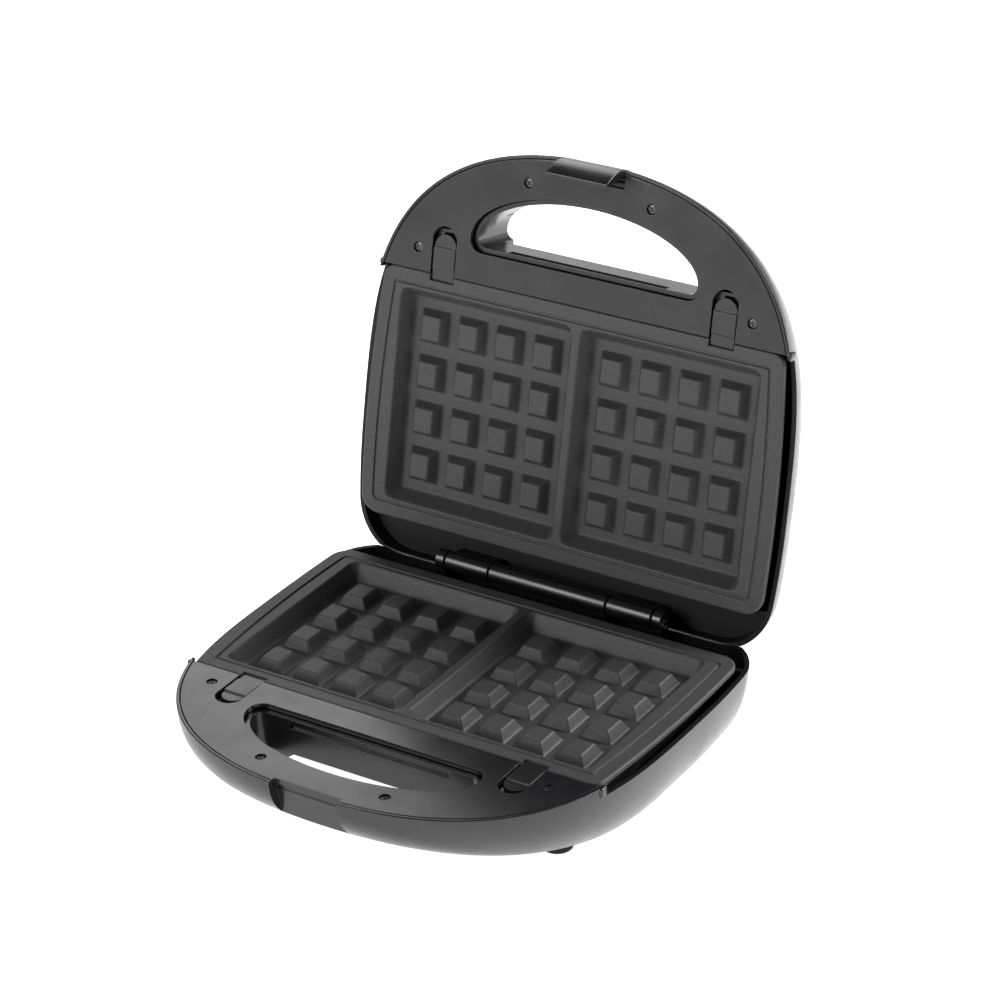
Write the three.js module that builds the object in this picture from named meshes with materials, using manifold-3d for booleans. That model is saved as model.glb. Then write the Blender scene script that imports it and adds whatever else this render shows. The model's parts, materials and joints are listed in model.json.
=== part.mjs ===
// A waffle maker standing open: two moulded halves on a rear hinge, each with a cast plate held by
// two sliding release clips, and a pivoting latch on the lid's handle.
//
// Each half is drawn in its own coordinates: X across, Y (called v) from the plate's hinge-side edge
// towards the handle, Z (called n) out of the cooking face, which lies at n = 0.
import * as THREE from 'three';
import { mergeVertices } from 'three/addons/utils/BufferGeometryUtils.js';
import Module from 'manifold-3d';

const wasm = await Module();
wasm.setup();

// ---------- driving dimensions, in millimetres and degrees ----------

// Plates
const PLATE_DEPTH = 127.3;
const PLATE_HALF_WIDTH = 114.4;
const PLATE_CORNER_MARGIN = 2.2805;
const WIDEST_FROM_FRONT = 82.3;
const PLATE_FRONT_CORNER = 6;
const PLATE_REAR_CORNER = 10;
const FLANGE_THICK = 3;
const PLATE_BODY_INSET = 7;
const PLATE_FLOOR_THICK = 2.6;
const CAVITY_DEPTH = 8.4;
const CAVITY_DRAFT = 4.6;
const CAVITY_CORNER = 5;
const RIDGE_TOP = 4.2;
const CAVITY_FRONT_RIM = 9.5;
const CAVITY_REAR_RIM = 9.5;
const CAVITY_SIDE_RIM = 14.6;
const GROOVE_INSET = 6.6;
const GROOVE_WIDTH = 1.4;
const GROOVE_DEPTH = 0.8;
const STUD_ROWS = 4;
const STUD_COLUMNS = 4;
const STUD_WALL_GAP_X = 4.05;
const STUD_WALL_GAP_V = 5.75;
const STUD_GAP_X = 5.2;
const STUD_GAP_V = 6.4;
const STUD_DRAFT_X = 3;
const STUD_DRAFT_V = 2.55;
const STUD_HEIGHT = 5.3;

// Shell outline on the mating plane
const SHELL_SIDE_MARGIN = 4.9;
const HANDLE_REACH = 70.4;
const HANDLE_EXPONENT_V = 3.5;
const HANDLE_EXPONENT_X = 2;
const SHELL_REAR = 22.8;
const SHELL_REAR_CORNER = 31;
const SHELL_SIDE_RADIUS = 434;
const SHELL_WALL = 2.4;
const SIDE_RIM_DROP = 4.8;
const SIDE_LIP_SETBACK = 1.4;
const SIDE_LIP_RISE = 1.3;

// Shell depths: full depth under the plate, thinner towards the end of the handle
const BASE_DEPTH = 42;
const LID_DEPTH = 38;
const HANDLE_END_DEPTH = 22;
const TAPER_LEAD = 31.3;
const BASE_INSET = 19.6;
const LID_INSET = 25.5;
const PROFILE_EXPONENT = 1.6;

// Hinge
const HINGE_BEHIND_PLATE = 13.7;
const MATING_GAP = 0.7;
const OPEN_ANGLE = 102.4;
const REAR_RELIEF_ANGLE = 53;
const BARREL_RADIUS = 5;
const BARREL_MIDDLE_HALF = 33;
const BARREL_LID_LENGTH = 24.6;
const EAR_THICK = 5;
const BARREL_GAP = 0.7;
const PIN_RADIUS = 1.9;
const PIN_CLEARANCE = 0.3;
const PIN_DEPTH_IN_MIDDLE = 14;
const TROUGH_DEPTH = 12;
const TROUGH_FLOOR = 2;
const TROUGH_FRONT_V = 2.5;
const BULKHEAD_DEPTH = 20;
const BULKHEAD_GAP = 1;
const BRACKET_THICK = 7;

// Handle cover, hand hole and screws
const COVER_THICK = 2.6;
const COVER_RIM = 1.6;
const COVER_GAP = 0.4;
const HOLE_SIDE_MARGIN = 56.7;
const HOLE_START = 15.4;
const HOLE_SHOULDER = 22;
const HOLE_REACH = 27.6;
const HOLE_CORNER = 6.6;
const TUBE_WALL = 2.3;
const TUBE_SLOT_MARGIN = 19.1;
const TUBE_SLOT_HEIGHT = 4.5;
const TUBE_SLOT_TOP = 3.2;
const TUBE_SLOT_DEPTH = 1.3;
const SCREW_INNER_X = 33.5;
const SCREW_INNER_V = 54.2;
const SCREW_OUTER_MARGIN = 22.4;
const SCREW_OUTER_V = 11.6;
const SCREW_HEAD_RADIUS = 2.3;
const SCREW_HEAD_THICK = 1.2;
const SCREW_SHANK_RADIUS = 1.1;
const SCREW_LENGTH = 9;
const SCREW_RECESS = 0.5;
const SCREW_CLEARANCE = 0.3;
const SCREW_POINT = 2;
const SCREW_HEAD_BEVEL = 0.5;
const SCREW_CROSS_LENGTH = 2.9;
const SCREW_CROSS_WIDTH = 0.7;
const SCREW_CROSS_DEPTH = 0.7;
const BOSS_RADIUS = 3.6;

// Release clips
const CLIP_MARGIN = 37.2;
const CLIP_WIDTH = 12.4;
const CLIP_THICK = 3;
const CLIP_END = 20.3;
const CLIP_SETBACK = 0.4;
const CLIP_TRAVEL = 3.6;
const CLIP_SIDE_GAP = 0.7;
const CLIP_NOSE_REACH = 2.8;
const CLIP_NOSE_THICK = 0.9;
const CLIP_STEP_V = 13.7;
const CLIP_STEP_DROP = 0.8;
const CLIP_RIDGE_V = 4.6;
const CLIP_RIDGE_WIDTH = 2;
const CLIP_RIDGE_RISE = 0.5;
const CLIP_TAB_V = 5.7;
const CLIP_TAB_THICK = 2;
const CLIP_SHELF_THICK = 1.6;
const NOTCH_GAP = 0.6;
const NOTCH_DEPTH = 2.1;
const SPRING_RADIUS = 1.9;
const SPRING_WIRE = 0.35;
const SPRING_LENGTH = 9;
const SPRING_TURNS = 4;

// Latch and its pockets
const LATCH_HALF_WIDTH = 16.6;
const LATCH_SIDE_GAP = 1.6;
const POCKET_LEDGE_V = 65.4;
const POCKET_SLOPE = 0.234;
const POCKET_DEPTH = 14.2;
const CATCH_HEIGHT = 3;
const CATCH_DEPTH = 1.9;
const LID_POCKET_BACK_V = 60.8;
const POCKET_WALL = 2.2;
const LATCH_PIVOT_V = 64.4;
const LATCH_PIVOT_N = -7.2;
const LATCH_EYE_RADIUS = 2.4;
const LATCH_PIN_RADIUS = 1;
const LATCH_PIN_BITE = 3;
const LATCH_GAP = 0.5;
const LATCH_REACH = 14.2;
const LATCH_LIP_THICK = 2.5;
const LATCH_BULGE = 0.6;
const CATCH_GAP = 0.4;
const LATCH_TAIL = 12.6;
const LATCH_RIDGE_BEVEL = 0.2;

// Side rims
const LUG_PROUD = 2.8;
const LUG_LENGTH = 4;
const LUG_HEIGHT = 9;

// Heating, tray and small internals
const HEATER_RADIUS = 3.2;
const HEATER_SIDE_MARGIN = 36.4;
const HEATER_FRONT_MARGIN = 24;
const HEATER_REAR_MARGIN = 12;
const HEATER_BEND = 18;
const HEATER_GAP = 0.6;
const TRAY_CORNER_MARGIN = 16.638;
const TRAY_HEIGHT = 7;
const TRAY_SHEET = 0.8;
const TRAY_END_MARGIN = 9;
const POST_RADIUS = 4;
const POST_X = 60;
const POST_MARGIN_V = 34;
const INTERNAL_GAP = 0.5;
const THERMOSTAT_RADIUS = 8;
const THERMOSTAT_HEIGHT = 4;
const FUSE_RADIUS = 2;
const FUSE_HALF_LENGTH = 8;

// Feet, cord inlet and lamps
const FOOT_RADIUS = 7.5;
const FOOT_PROUD = 2.2;
const FOOT_SOCKET = 1.4;
const FOOT_SIDE_MARGIN = 30.4;
const FOOT_REAR_V = 7;
const FOOT_FRONT_MARGIN = 7.3;
const GLAND_RADIUS = 5;
const GLAND_FLANGE = 6.6;
const GLAND_BORE = 3.4;
const GLAND_SIDE_MARGIN = 52.4;
const GLAND_DROP = 29;
const GLAND_LENGTH = 13;
const GLAND_START = 1;
const GLAND_FLANGE_OUT = 2;
const GLAND_FLANGE_IN = 0.5;
const LAMP_RADIUS = 4;
const LAMP_X = 13;
const LAMP_FRONT_MARGIN = 43.3;
const LAMP_LENGTH = 7;
const LAMP_PROUD = 0.8;

// Fine choices shared by the whole model
const FIT_GAP = 0.3;
const OVERLAP = 1;
const LEAST_CORNER = 0.8;
const BIG = 400;
const MERGE_DISTANCE = 1e-4;
const OUTLINE_STEPS = 15;
const SHELL_CORNER_STEPS = 6;
const PLATE_CORNER_STEPS = 4;
const SMALL_CORNER_STEPS = 3;
const HOLE_STEPS = 8;
const PROFILE_STEPS = 5;
const CLIP_END_STEPS = 10;
const LATCH_BACK_STEPS = 8;
const ROUND_SEGMENTS = 20;
const SCREW_SEGMENTS = 12;
const HEATER_STEPS = 28;
const HEATER_SEGMENTS = 5;
const SPRING_POINTS_PER_TURN = 7;
const SPRING_STEPS_PER_TURN = 8;
const SPRING_SEGMENTS = 3;

// How far the plate's middle stands from the middle of the open object, along the world's Y
const CENTRE_SHIFT_Y = -4.85;

// ---------- derived places ----------

const HINGE_V = -HINGE_BEHIND_PLATE;
const HINGE_N = MATING_GAP / 2;
const MATING_Z = BASE_DEPTH + FOOT_PROUD;
const PLATE_EDGE_Y = PLATE_DEPTH / 2 + CENTRE_SHIFT_Y;
const WIDEST_V = PLATE_DEPTH - WIDEST_FROM_FRONT;
const SHELL_HALF_WIDTH = PLATE_HALF_WIDTH + SHELL_SIDE_MARGIN;
const HANDLE_TIP_V = PLATE_DEPTH + HANDLE_REACH;
const TAPER_START_V = PLATE_DEPTH - TAPER_LEAD;
const PLATE_BOW = PLATE_HALF_WIDTH - outlineX(PLATE_DEPTH) + PLATE_CORNER_MARGIN;
const PLATE_SIDE_RADIUS = (WIDEST_FROM_FRONT ** 2 + PLATE_BOW ** 2) / (2 * PLATE_BOW);
const EAR_INNER_X = BARREL_MIDDLE_HALF + BARREL_GAP + BARREL_LID_LENGTH + BARREL_GAP;
const CAVITY_BOTTOM = CAVITY_DEPTH + PLATE_FLOOR_THICK;
const CAVITY_OUTER_X = PLATE_HALF_WIDTH - CAVITY_SIDE_RIM;
const CAVITY_HALF_WIDTH = (CAVITY_OUTER_X - RIDGE_TOP / 2) / 2;
const CAVITY_CENTRE_X = RIDGE_TOP / 2 + CAVITY_HALF_WIDTH;
const FLOOR_X = 2 * (CAVITY_HALF_WIDTH - CAVITY_DRAFT);
const FLOOR_V = PLATE_DEPTH - CAVITY_FRONT_RIM - CAVITY_REAR_RIM - 2 * CAVITY_DRAFT;
const STUD_BASE_X = (FLOOR_X - 2 * STUD_WALL_GAP_X - (STUD_COLUMNS - 1) * STUD_GAP_X) / STUD_COLUMNS;
const STUD_BASE_V = (FLOOR_V - 2 * STUD_WALL_GAP_V - (STUD_ROWS - 1) * STUD_GAP_V) / STUD_ROWS;
const STUD_TOP_X = STUD_BASE_X - 2 * STUD_DRAFT_X;
const STUD_TOP_V = STUD_BASE_V - 2 * STUD_DRAFT_V;
const HOLE_HALF_WIDTH = SHELL_HALF_WIDTH - HOLE_SIDE_MARGIN;
const HOLE_REAR_V = PLATE_DEPTH + HOLE_START + TUBE_WALL;
const TUBE_SLOT_HALF = HOLE_HALF_WIDTH - TUBE_SLOT_MARGIN;
const SCREW_OUTER_X = PLATE_HALF_WIDTH - SCREW_OUTER_MARGIN;
const SCREW_HEAD_TOP = -SCREW_RECESS;
const SCREW_SEAT = SCREW_HEAD_TOP - SCREW_HEAD_THICK;
const SCREW_END = SCREW_SEAT - SCREW_LENGTH;
const COVER_SEAT = -COVER_THICK - FIT_GAP;
const CLIP_X = PLATE_HALF_WIDTH - CLIP_MARGIN;
const CLIP_UNDERSIDE = -CLIP_SETBACK - CLIP_THICK;
const CLIP_SHELF_TOP = CLIP_UNDERSIDE - FIT_GAP;
const CLIP_SLOT_END = PLATE_DEPTH + CLIP_END + CLIP_TRAVEL;
const SPRING_OUTER = SPRING_RADIUS + SPRING_WIRE;
const SPRING_N = CLIP_SHELF_TOP - SPRING_OUTER + FIT_GAP / 2;
const CHANNEL_FLOOR = SPRING_N - SPRING_OUTER - FIT_GAP;
const CHANNEL_END = CLIP_TAB_V + CLIP_TAB_THICK + SPRING_LENGTH + CLIP_TRAVEL + 2 * FIT_GAP;
const POCKET_HALF_WIDTH = LATCH_HALF_WIDTH + LATCH_SIDE_GAP;
const LATCH_PIN_HALF = POCKET_HALF_WIDTH + LATCH_PIN_BITE;
const HEATER_HALF_X = PLATE_HALF_WIDTH - HEATER_SIDE_MARGIN;
const HEATER_N = -CAVITY_BOTTOM - HEATER_GAP - HEATER_RADIUS;
const TRAY_TOP = HEATER_N - HEATER_RADIUS - HEATER_GAP;
const TRAY_BOTTOM = TRAY_TOP - TRAY_HEIGHT;
const TRAY_HALF_X = outlineX(PLATE_DEPTH - TRAY_END_MARGIN) - TRAY_CORNER_MARGIN;
const FOOT_X = PLATE_HALF_WIDTH - FOOT_SIDE_MARGIN;
const FOOT_FRONT_V = PLATE_DEPTH - FOOT_FRONT_MARGIN;
const GLAND_X = PLATE_HALF_WIDTH - GLAND_SIDE_MARGIN;
const LAMP_V = PLATE_DEPTH - LAMP_FRONT_MARGIN;
const SIDES = [-1, 1];
const inOrder = (a, b) => [Math.min(a, b), Math.max(a, b)];
const rad = THREE.MathUtils.degToRad;

// ---------- solids ----------

function solidOf(geometry) {
  const bare = geometry.index ? geometry : geometry.clone();
  bare.deleteAttribute('normal');
  bare.deleteAttribute('uv');
  const merged = mergeVertices(bare, MERGE_DISTANCE);
  return new wasm.Manifold(new wasm.Mesh({
    numProp: 3,
    vertProperties: Float32Array.from(merged.attributes.position.array),
    triVerts: Uint32Array.from(merged.index.array),
  }));
}

function geometryOf(solid) {
  const mesh = solid.getMesh();
  const geometry = new THREE.BufferGeometry();
  const places = Float32Array.from(mesh.vertProperties);
  geometry.setAttribute('position', new THREE.BufferAttribute(places, 3));
  geometry.setIndex(new THREE.BufferAttribute(Uint32Array.from(mesh.triVerts), 1));
  geometry.computeVertexNormals();
  return geometry;
}

const join = (first, ...others) => others.reduce((sum, next) => sum.add(next), first);
const cut = (first, ...others) => others.reduce((rest, next) => rest.subtract(next), first);
const common = (first, second) => first.intersect(second);

// A box given by its lowest and highest corners.
function block(x0, x1, v0, v1, n0, n1) {
  const geometry = new THREE.BoxGeometry(x1 - x0, v1 - v0, n1 - n0);
  geometry.translate((x0 + x1) / 2, (v0 + v1) / 2, (n0 + n1) / 2);
  return solidOf(geometry);
}

// A cylinder along X, N or V between two stations; a and b place it across its axis.
function rod(axis, radius, from, to, a, b, segments = ROUND_SEGMENTS) {
  const geometry = new THREE.CylinderGeometry(radius, radius, to - from, segments);
  if (axis === 'x') {
    geometry.rotateZ(Math.PI / 2);
    geometry.translate((from + to) / 2, a, b);
  } else if (axis === 'n') {
    geometry.rotateX(Math.PI / 2);
    geometry.translate(a, b, (from + to) / 2);
  } else {
    geometry.translate(a, (from + to) / 2, b);
  }
  return solidOf(geometry);
}

// A straight prism: points (v, n) drawn as a polygon and carried along X.
function prismX(points, x0, x1) {
  const shape = new THREE.Shape(points.map(([v, n]) => new THREE.Vector2(v, n)));
  const geometry = new THREE.ExtrudeGeometry(shape, { depth: x1 - x0, bevelEnabled: false });
  // (x, y, z) of the extrusion becomes (v, n, x) of the half
  geometry.applyMatrix4(new THREE.Matrix4().set(0, 0, 1, x0, 1, 0, 0, 0, 0, 1, 0, 0, 0, 0, 0, 1));
  return solidOf(geometry);
}

// A plan outline (x, v) carried along N.
function prismN(points, n0, n1) {
  const shape = new THREE.Shape(points.map(([x, v]) => new THREE.Vector2(x, v)));
  const geometry = new THREE.ExtrudeGeometry(shape, { depth: n1 - n0, bevelEnabled: false });
  geometry.translate(0, 0, n0);
  return solidOf(geometry);
}

// ---------- outlines: half of a shape symmetric about X = 0, from its front to its rear ----------

function arc(centreX, centreV, radius, from, to, steps) {
  const points = [];
  for (let i = 0; i <= steps; i += 1) {
    const angle = from + ((to - from) * i) / steps;
    points.push([centreX + radius * Math.cos(angle), centreV + radius * Math.sin(angle)]);
  }
  return points;
}

// A bowed side and a round corner tangent to it and to a straight edge at edgeV.
function bowedCorner(halfWidth, widestV, sideRadius, corner, edgeV, steps) {
  const sign = Math.sign(edgeV - widestV);
  const cornerV = edgeV - sign * corner;
  const lean = Math.asin(Math.abs(cornerV - widestV) / (sideRadius - corner));
  const sideX = halfWidth - sideRadius;
  const cornerX = sideX + (sideRadius - corner) * Math.cos(lean);
  const side = arc(sideX, widestV, sideRadius, 0, sign * lean, SMALL_CORNER_STEPS);
  const round = arc(cornerX, cornerV, corner, sign * lean, (sign * Math.PI) / 2, steps);
  return side.concat(round.slice(1));
}

// The plate's outline moved inward by a distance; its corners stay round.
function plateHalf(distance) {
  const bowed = (corner, edgeV) => bowedCorner(PLATE_HALF_WIDTH - distance, WIDEST_V,
    PLATE_SIDE_RADIUS - distance, Math.max(corner - distance, LEAST_CORNER), edgeV, PLATE_CORNER_STEPS);
  const front = bowed(PLATE_FRONT_CORNER, PLATE_DEPTH - distance);
  const rear = bowed(PLATE_REAR_CORNER, distance);
  return [[0, PLATE_DEPTH - distance], ...front.reverse(), ...rear.slice(1), [0, distance]];
}

// Half the shell's width on the mating plane at a station in front of its widest place.
function outlineX(v) {
  const share = (v - WIDEST_V) / (HANDLE_TIP_V - WIDEST_V);
  return SHELL_HALF_WIDTH * (1 - share ** HANDLE_EXPONENT_V) ** (1 / HANDLE_EXPONENT_X);
}

function shellHalf() {
  const points = [];
  const reach = HANDLE_TIP_V - WIDEST_V;
  for (let i = 0; i < OUTLINE_STEPS; i += 1) {
    const angle = (Math.PI / 2) * (1 - i / OUTLINE_STEPS);
    points.push([
      SHELL_HALF_WIDTH * Math.cos(angle) ** (2 / HANDLE_EXPONENT_X),
      WIDEST_V + reach * Math.sin(angle) ** (2 / HANDLE_EXPONENT_V),
    ]);
  }
  points[0][0] = 0;
  const rear = bowedCorner(SHELL_HALF_WIDTH, WIDEST_V, SHELL_SIDE_RADIUS, SHELL_REAR_CORNER, -SHELL_REAR,
    SHELL_CORNER_STEPS);
  return [...points, ...rear, [0, -SHELL_REAR]];
}

function holeHalf() {
  const points = [];
  const shoulder = PLATE_DEPTH + HOLE_SHOULDER;
  for (let i = 0; i <= HOLE_STEPS; i += 1) {
    const angle = (Math.PI / 2) * (1 - i / HOLE_STEPS);
    points.push([HOLE_HALF_WIDTH * Math.cos(angle), shoulder + HOLE_REACH * Math.sin(angle)]);
  }
  points[0][0] = 0;
  const cornerX = HOLE_HALF_WIDTH - HOLE_CORNER;
  const corner = arc(cornerX, shoulder, HOLE_CORNER, 0, -Math.PI / 2, SMALL_CORNER_STEPS);
  return [...points, ...corner.slice(1), [0, PLATE_DEPTH + HOLE_START]];
}

// Moves each point of a half outline inward by a distance, along the outline's own normal.
function inset(half, distance) {
  return half.map(([x, v], i) => {
    const [ax, av] = half[Math.max(i - 1, 0)];
    const [bx, bv] = half[Math.min(i + 1, half.length - 1)];
    if (i === 0) {
      return [0, v - distance];
    }
    if (i === half.length - 1) {
      return [0, v + distance];
    }
    const length = Math.hypot(bx - ax, bv - av);
    return [x + ((bv - av) / length) * distance, v - ((bx - ax) / length) * distance];
  });
}

const wholeOf = (half) => half.concat(half.slice(1, -1).reverse().map(([x, v]) => [-x, v]));

// A closed body through rings of equal count. Every ring is [x, v, n] points made by wholeOf's order,
// and the two ends are closed by rungs between mirrored points, so an end may slope along V.
function loft(rings) {
  const count = rings[0].length;
  const positions = rings.flat(2);
  const index = [];
  for (let level = 0; level < rings.length - 1; level += 1) {
    for (let i = 0; i < count; i += 1) {
      const a = level * count + i;
      const b = level * count + ((i + 1) % count);
      index.push(a, b, b + count, a, b + count, a + count);
    }
  }
  const top = (rings.length - 1) * count;
  for (let i = 0; i < count / 2; i += 1) {
    const left = (count - i) % count;
    const nextLeft = count - i - 1;
    const quads = [[i, i + 1, nextLeft], [i, nextLeft, left]];
    for (const [a, b, c] of quads) {
      if (a !== b && b !== c && a !== c) {
        index.push(a, c, b, top + a, top + b, top + c);
      }
    }
  }
  const geometry = new THREE.BufferGeometry();
  geometry.setAttribute('position', new THREE.Float32BufferAttribute(positions, 3));
  geometry.setIndex(index);
  const solid = solidOf(geometry);
  if (solid.volume() > 0) {
    return solid;
  }
  geometry.index.array.reverse();
  return solidOf(geometry);
}

// ---------- the moulded shells ----------

// How deep the shell is at v: full under the plate, then thinner towards the end of the handle.
function depthAt(fullDepth, v) {
  const share = Math.max(0, v - TAPER_START_V) / (HANDLE_TIP_V - TAPER_START_V);
  return fullDepth - (fullDepth - HANDLE_END_DEPTH) * share;
}

// The body inside a skin whose wall has the given thickness; a wall of 0 gives the outside.
function shellBody(fullDepth, fullInset, wall) {
  const half = shellHalf();
  const rings = [];
  if (wall > 0) {
    rings.push(wholeOf(inset(half, wall)).map(([x, v]) => [x, v, SHELL_WALL]));
  }
  for (let i = 0; i <= PROFILE_STEPS; i += 1) {
    const share = Math.sin(((Math.PI / 2) * i) / PROFILE_STEPS);
    const inward = fullInset * (1 - (1 - share ** PROFILE_EXPONENT) ** (1 / PROFILE_EXPONENT)) + wall;
    const outline = wholeOf(inset(half, inward));
    rings.push(outline.map(([x, v]) => [x, v, -(depthAt(fullDepth, v) - wall) * share]));
  }
  return loft(rings);
}

// Everything behind the hinge axis that the other half sweeps through.
function rearRelief() {
  const drop = BIG * Math.tan(rad(REAR_RELIEF_ANGLE));
  const behind = HINGE_V - BIG;
  return prismX([[HINGE_V, HINGE_N], [behind, HINGE_N - drop], [behind, BIG], [HINGE_V, BIG]], -BIG, BIG);
}

function screwPlaces() {
  const places = [];
  for (const side of SIDES) {
    places.push([side * SCREW_OUTER_X, PLATE_DEPTH + SCREW_OUTER_V]);
    places.push([side * SCREW_INNER_X, PLATE_DEPTH + SCREW_INNER_V]);
  }
  return places;
}

// The shelf a release clip slides on, with the channel its spring lies in.
function clipShelf(side) {
  const x = side * CLIP_X;
  const halfWidth = CLIP_WIDTH / 2 + CLIP_SIDE_GAP + CLIP_SHELF_THICK;
  const halfChannel = SPRING_OUTER + FIT_GAP;
  const end = PLATE_DEPTH + CHANNEL_END;
  const shelf = block(x - halfWidth, x + halfWidth, PLATE_DEPTH + BULKHEAD_GAP, end + CLIP_SHELF_THICK,
    CHANNEL_FLOOR - CLIP_SHELF_THICK, CLIP_SHELF_TOP);
  const channel = block(x - halfChannel, x + halfChannel, PLATE_DEPTH + CLIP_TAB_V - FIT_GAP, end,
    CHANNEL_FLOOR, BIG);
  return cut(shelf, channel);
}

// A clip's plan, or its slot's: straight sides from v0 and a round end.
function clipPath(side, clearance, v0, end) {
  const radius = CLIP_WIDTH / 2 + clearance;
  const points = [[side * CLIP_X - radius, v0], [side * CLIP_X + radius, v0]];
  return points.concat(arc(side * CLIP_X, end - CLIP_WIDTH / 2, radius, 0, Math.PI, CLIP_END_STEPS));
}

// A pocket cut into the end of the handle; its back is given as points (v, n) from top to bottom.
function pocket(back) {
  const [, lastN] = back[back.length - 1];
  const outside = [[PLATE_DEPTH + BIG, lastN], [PLATE_DEPTH + BIG, BIG], [back[0][0], BIG]];
  return prismX([...back, ...outside], -POCKET_HALF_WIDTH, POCKET_HALF_WIDTH);
}

const clipSlots = (floor) => SIDES.map((side) => (
  prismN(clipPath(side, CLIP_SIDE_GAP, PLATE_DEPTH - OVERLAP, CLIP_SLOT_END), floor, BIG)));

// One moulded half, from its skin inwards; barrels, pocket, feet and extra cuts are the half's own.
function housing({ depth, fullInset, barrels, pocketBack, feet, extraCuts }) {
  const outer = shellBody(depth, fullInset, 0);
  const skin = cut(outer, shellBody(depth, fullInset, SHELL_WALL));
  const within = (solid) => common(solid, outer);

  const hollow = prismN(wholeOf(inset(holeHalf(), TUBE_WALL)), -BIG, BIG);
  const tube = cut(prismN(wholeOf(holeHalf()), -BIG, 0), hollow);
  const bulkheadV = PLATE_DEPTH + BULKHEAD_GAP;
  const handleBulkhead = block(-BIG, BIG, bulkheadV, bulkheadV + SHELL_WALL, -BULKHEAD_DEPTH, COVER_SEAT);
  const rearBulkhead = block(-BIG, BIG, TROUGH_FRONT_V - TROUGH_FLOOR, TROUGH_FRONT_V, -BULKHEAD_DEPTH,
    -FLANGE_THICK - INTERNAL_GAP);
  const troughFloor = block(-BIG, BIG, -BIG, TROUGH_FRONT_V, -TROUGH_DEPTH - TROUGH_FLOOR, -TROUGH_DEPTH);
  const bosses = screwPlaces().map(([x, v]) => rod('n', BOSS_RADIUS, -BIG, COVER_SEAT, x, v, SCREW_SEGMENTS));
  const posts = [];
  for (const x of [-POST_X, POST_X]) {
    for (const v of [POST_MARGIN_V, PLATE_DEPTH - POST_MARGIN_V]) {
      posts.push(rod('n', POST_RADIUS, -BIG, TRAY_BOTTOM - FIT_GAP, x, v, SCREW_SEGMENTS));
    }
  }
  const footBosses = feet.map(({ x, v, top }) => (
    rod('n', FOOT_RADIUS + SHELL_WALL, -BIG, top + SHELL_WALL, x, v)));
  const pocketWidth = LATCH_PIN_HALF + POCKET_WALL;
  const pocketStart = Math.min(...pocketBack.map(([v]) => v)) - POCKET_WALL;
  const pocketWall = block(-pocketWidth, pocketWidth, pocketStart, BIG, -BIG, COVER_SEAT);

  const rimCut = block(-BIG, BIG, -BIG, PLATE_DEPTH - LUG_LENGTH / 2, -SIDE_RIM_DROP, BIG);
  const rebate = common(prismN(wholeOf(inset(shellHalf(), COVER_RIM)), COVER_SEAT, BIG),
    block(-BIG, BIG, PLATE_DEPTH - LUG_LENGTH, BIG, -BIG, BIG));
  const lipOutside = prismN(wholeOf(inset(shellHalf(), SIDE_LIP_SETBACK)), -SIDE_RIM_DROP - SHELL_WALL,
    -SIDE_RIM_DROP + SIDE_LIP_RISE);
  const lipInside = prismN(wholeOf(inset(shellHalf(), SHELL_WALL + FIT_GAP)), -BIG, BIG);
  const lip = common(cut(lipOutside, lipInside),
    block(-BIG, BIG, HINGE_V, PLATE_DEPTH - LUG_LENGTH / 2, -BIG, BIG));
  const lugs = SIDES.map((side) => {
    const edge = outlineX(PLATE_DEPTH);
    const [x0, x1] = inOrder(side * (edge - COVER_RIM), side * (edge + LUG_PROUD));
    return block(x0, x1, PLATE_DEPTH - LUG_LENGTH / 2, PLATE_DEPTH + LUG_LENGTH / 2, -LUG_HEIGHT, 0);
  });

  const walls = [tube, handleBulkhead, rearBulkhead, troughFloor, pocketWall, ...bosses, ...posts,
    ...footBosses];
  let body = join(skin, ...walls.map(within), ...SIDES.map(clipShelf));
  body = cut(body, rimCut, rebate);
  body = join(cut(body, hollow), within(lip), ...lugs);
  body = cut(body, rearRelief(), pocket(pocketBack), ...extraCuts);
  const tubeSlot = block(-TUBE_SLOT_HALF, TUBE_SLOT_HALF, HOLE_REAR_V - TUBE_SLOT_DEPTH,
    HOLE_REAR_V + OVERLAP, -TUBE_SLOT_TOP - TUBE_SLOT_HEIGHT, -TUBE_SLOT_TOP);
  body = cut(body, tubeSlot, ...clipSlots(CLIP_SHELF_TOP));
  const screwBores = screwPlaces().map(([x, v]) => (
    rod('n', SCREW_SHANK_RADIUS + SCREW_CLEARANCE, SCREW_END - FIT_GAP, BIG, x, v, SCREW_SEGMENTS)));
  const sockets = feet.map(({ x, v, top }) => rod('n', FOOT_RADIUS + FIT_GAP, -BIG, top, x, v));
  body = cut(body, ...screwBores, ...sockets);
  for (const { from, to } of barrels) {
    const bracket = block(from, to, HINGE_V - BRACKET_THICK / 2, HINGE_V + BRACKET_THICK / 2,
      -TROUGH_DEPTH - TROUGH_FLOOR / 2, HINGE_N);
    body = join(body, bracket, rod('x', BARREL_RADIUS, from, to, HINGE_V, HINGE_N));
  }
  return body;
}

// ---------- covers, plates and hardware, still in a half's own coordinates ----------

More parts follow.
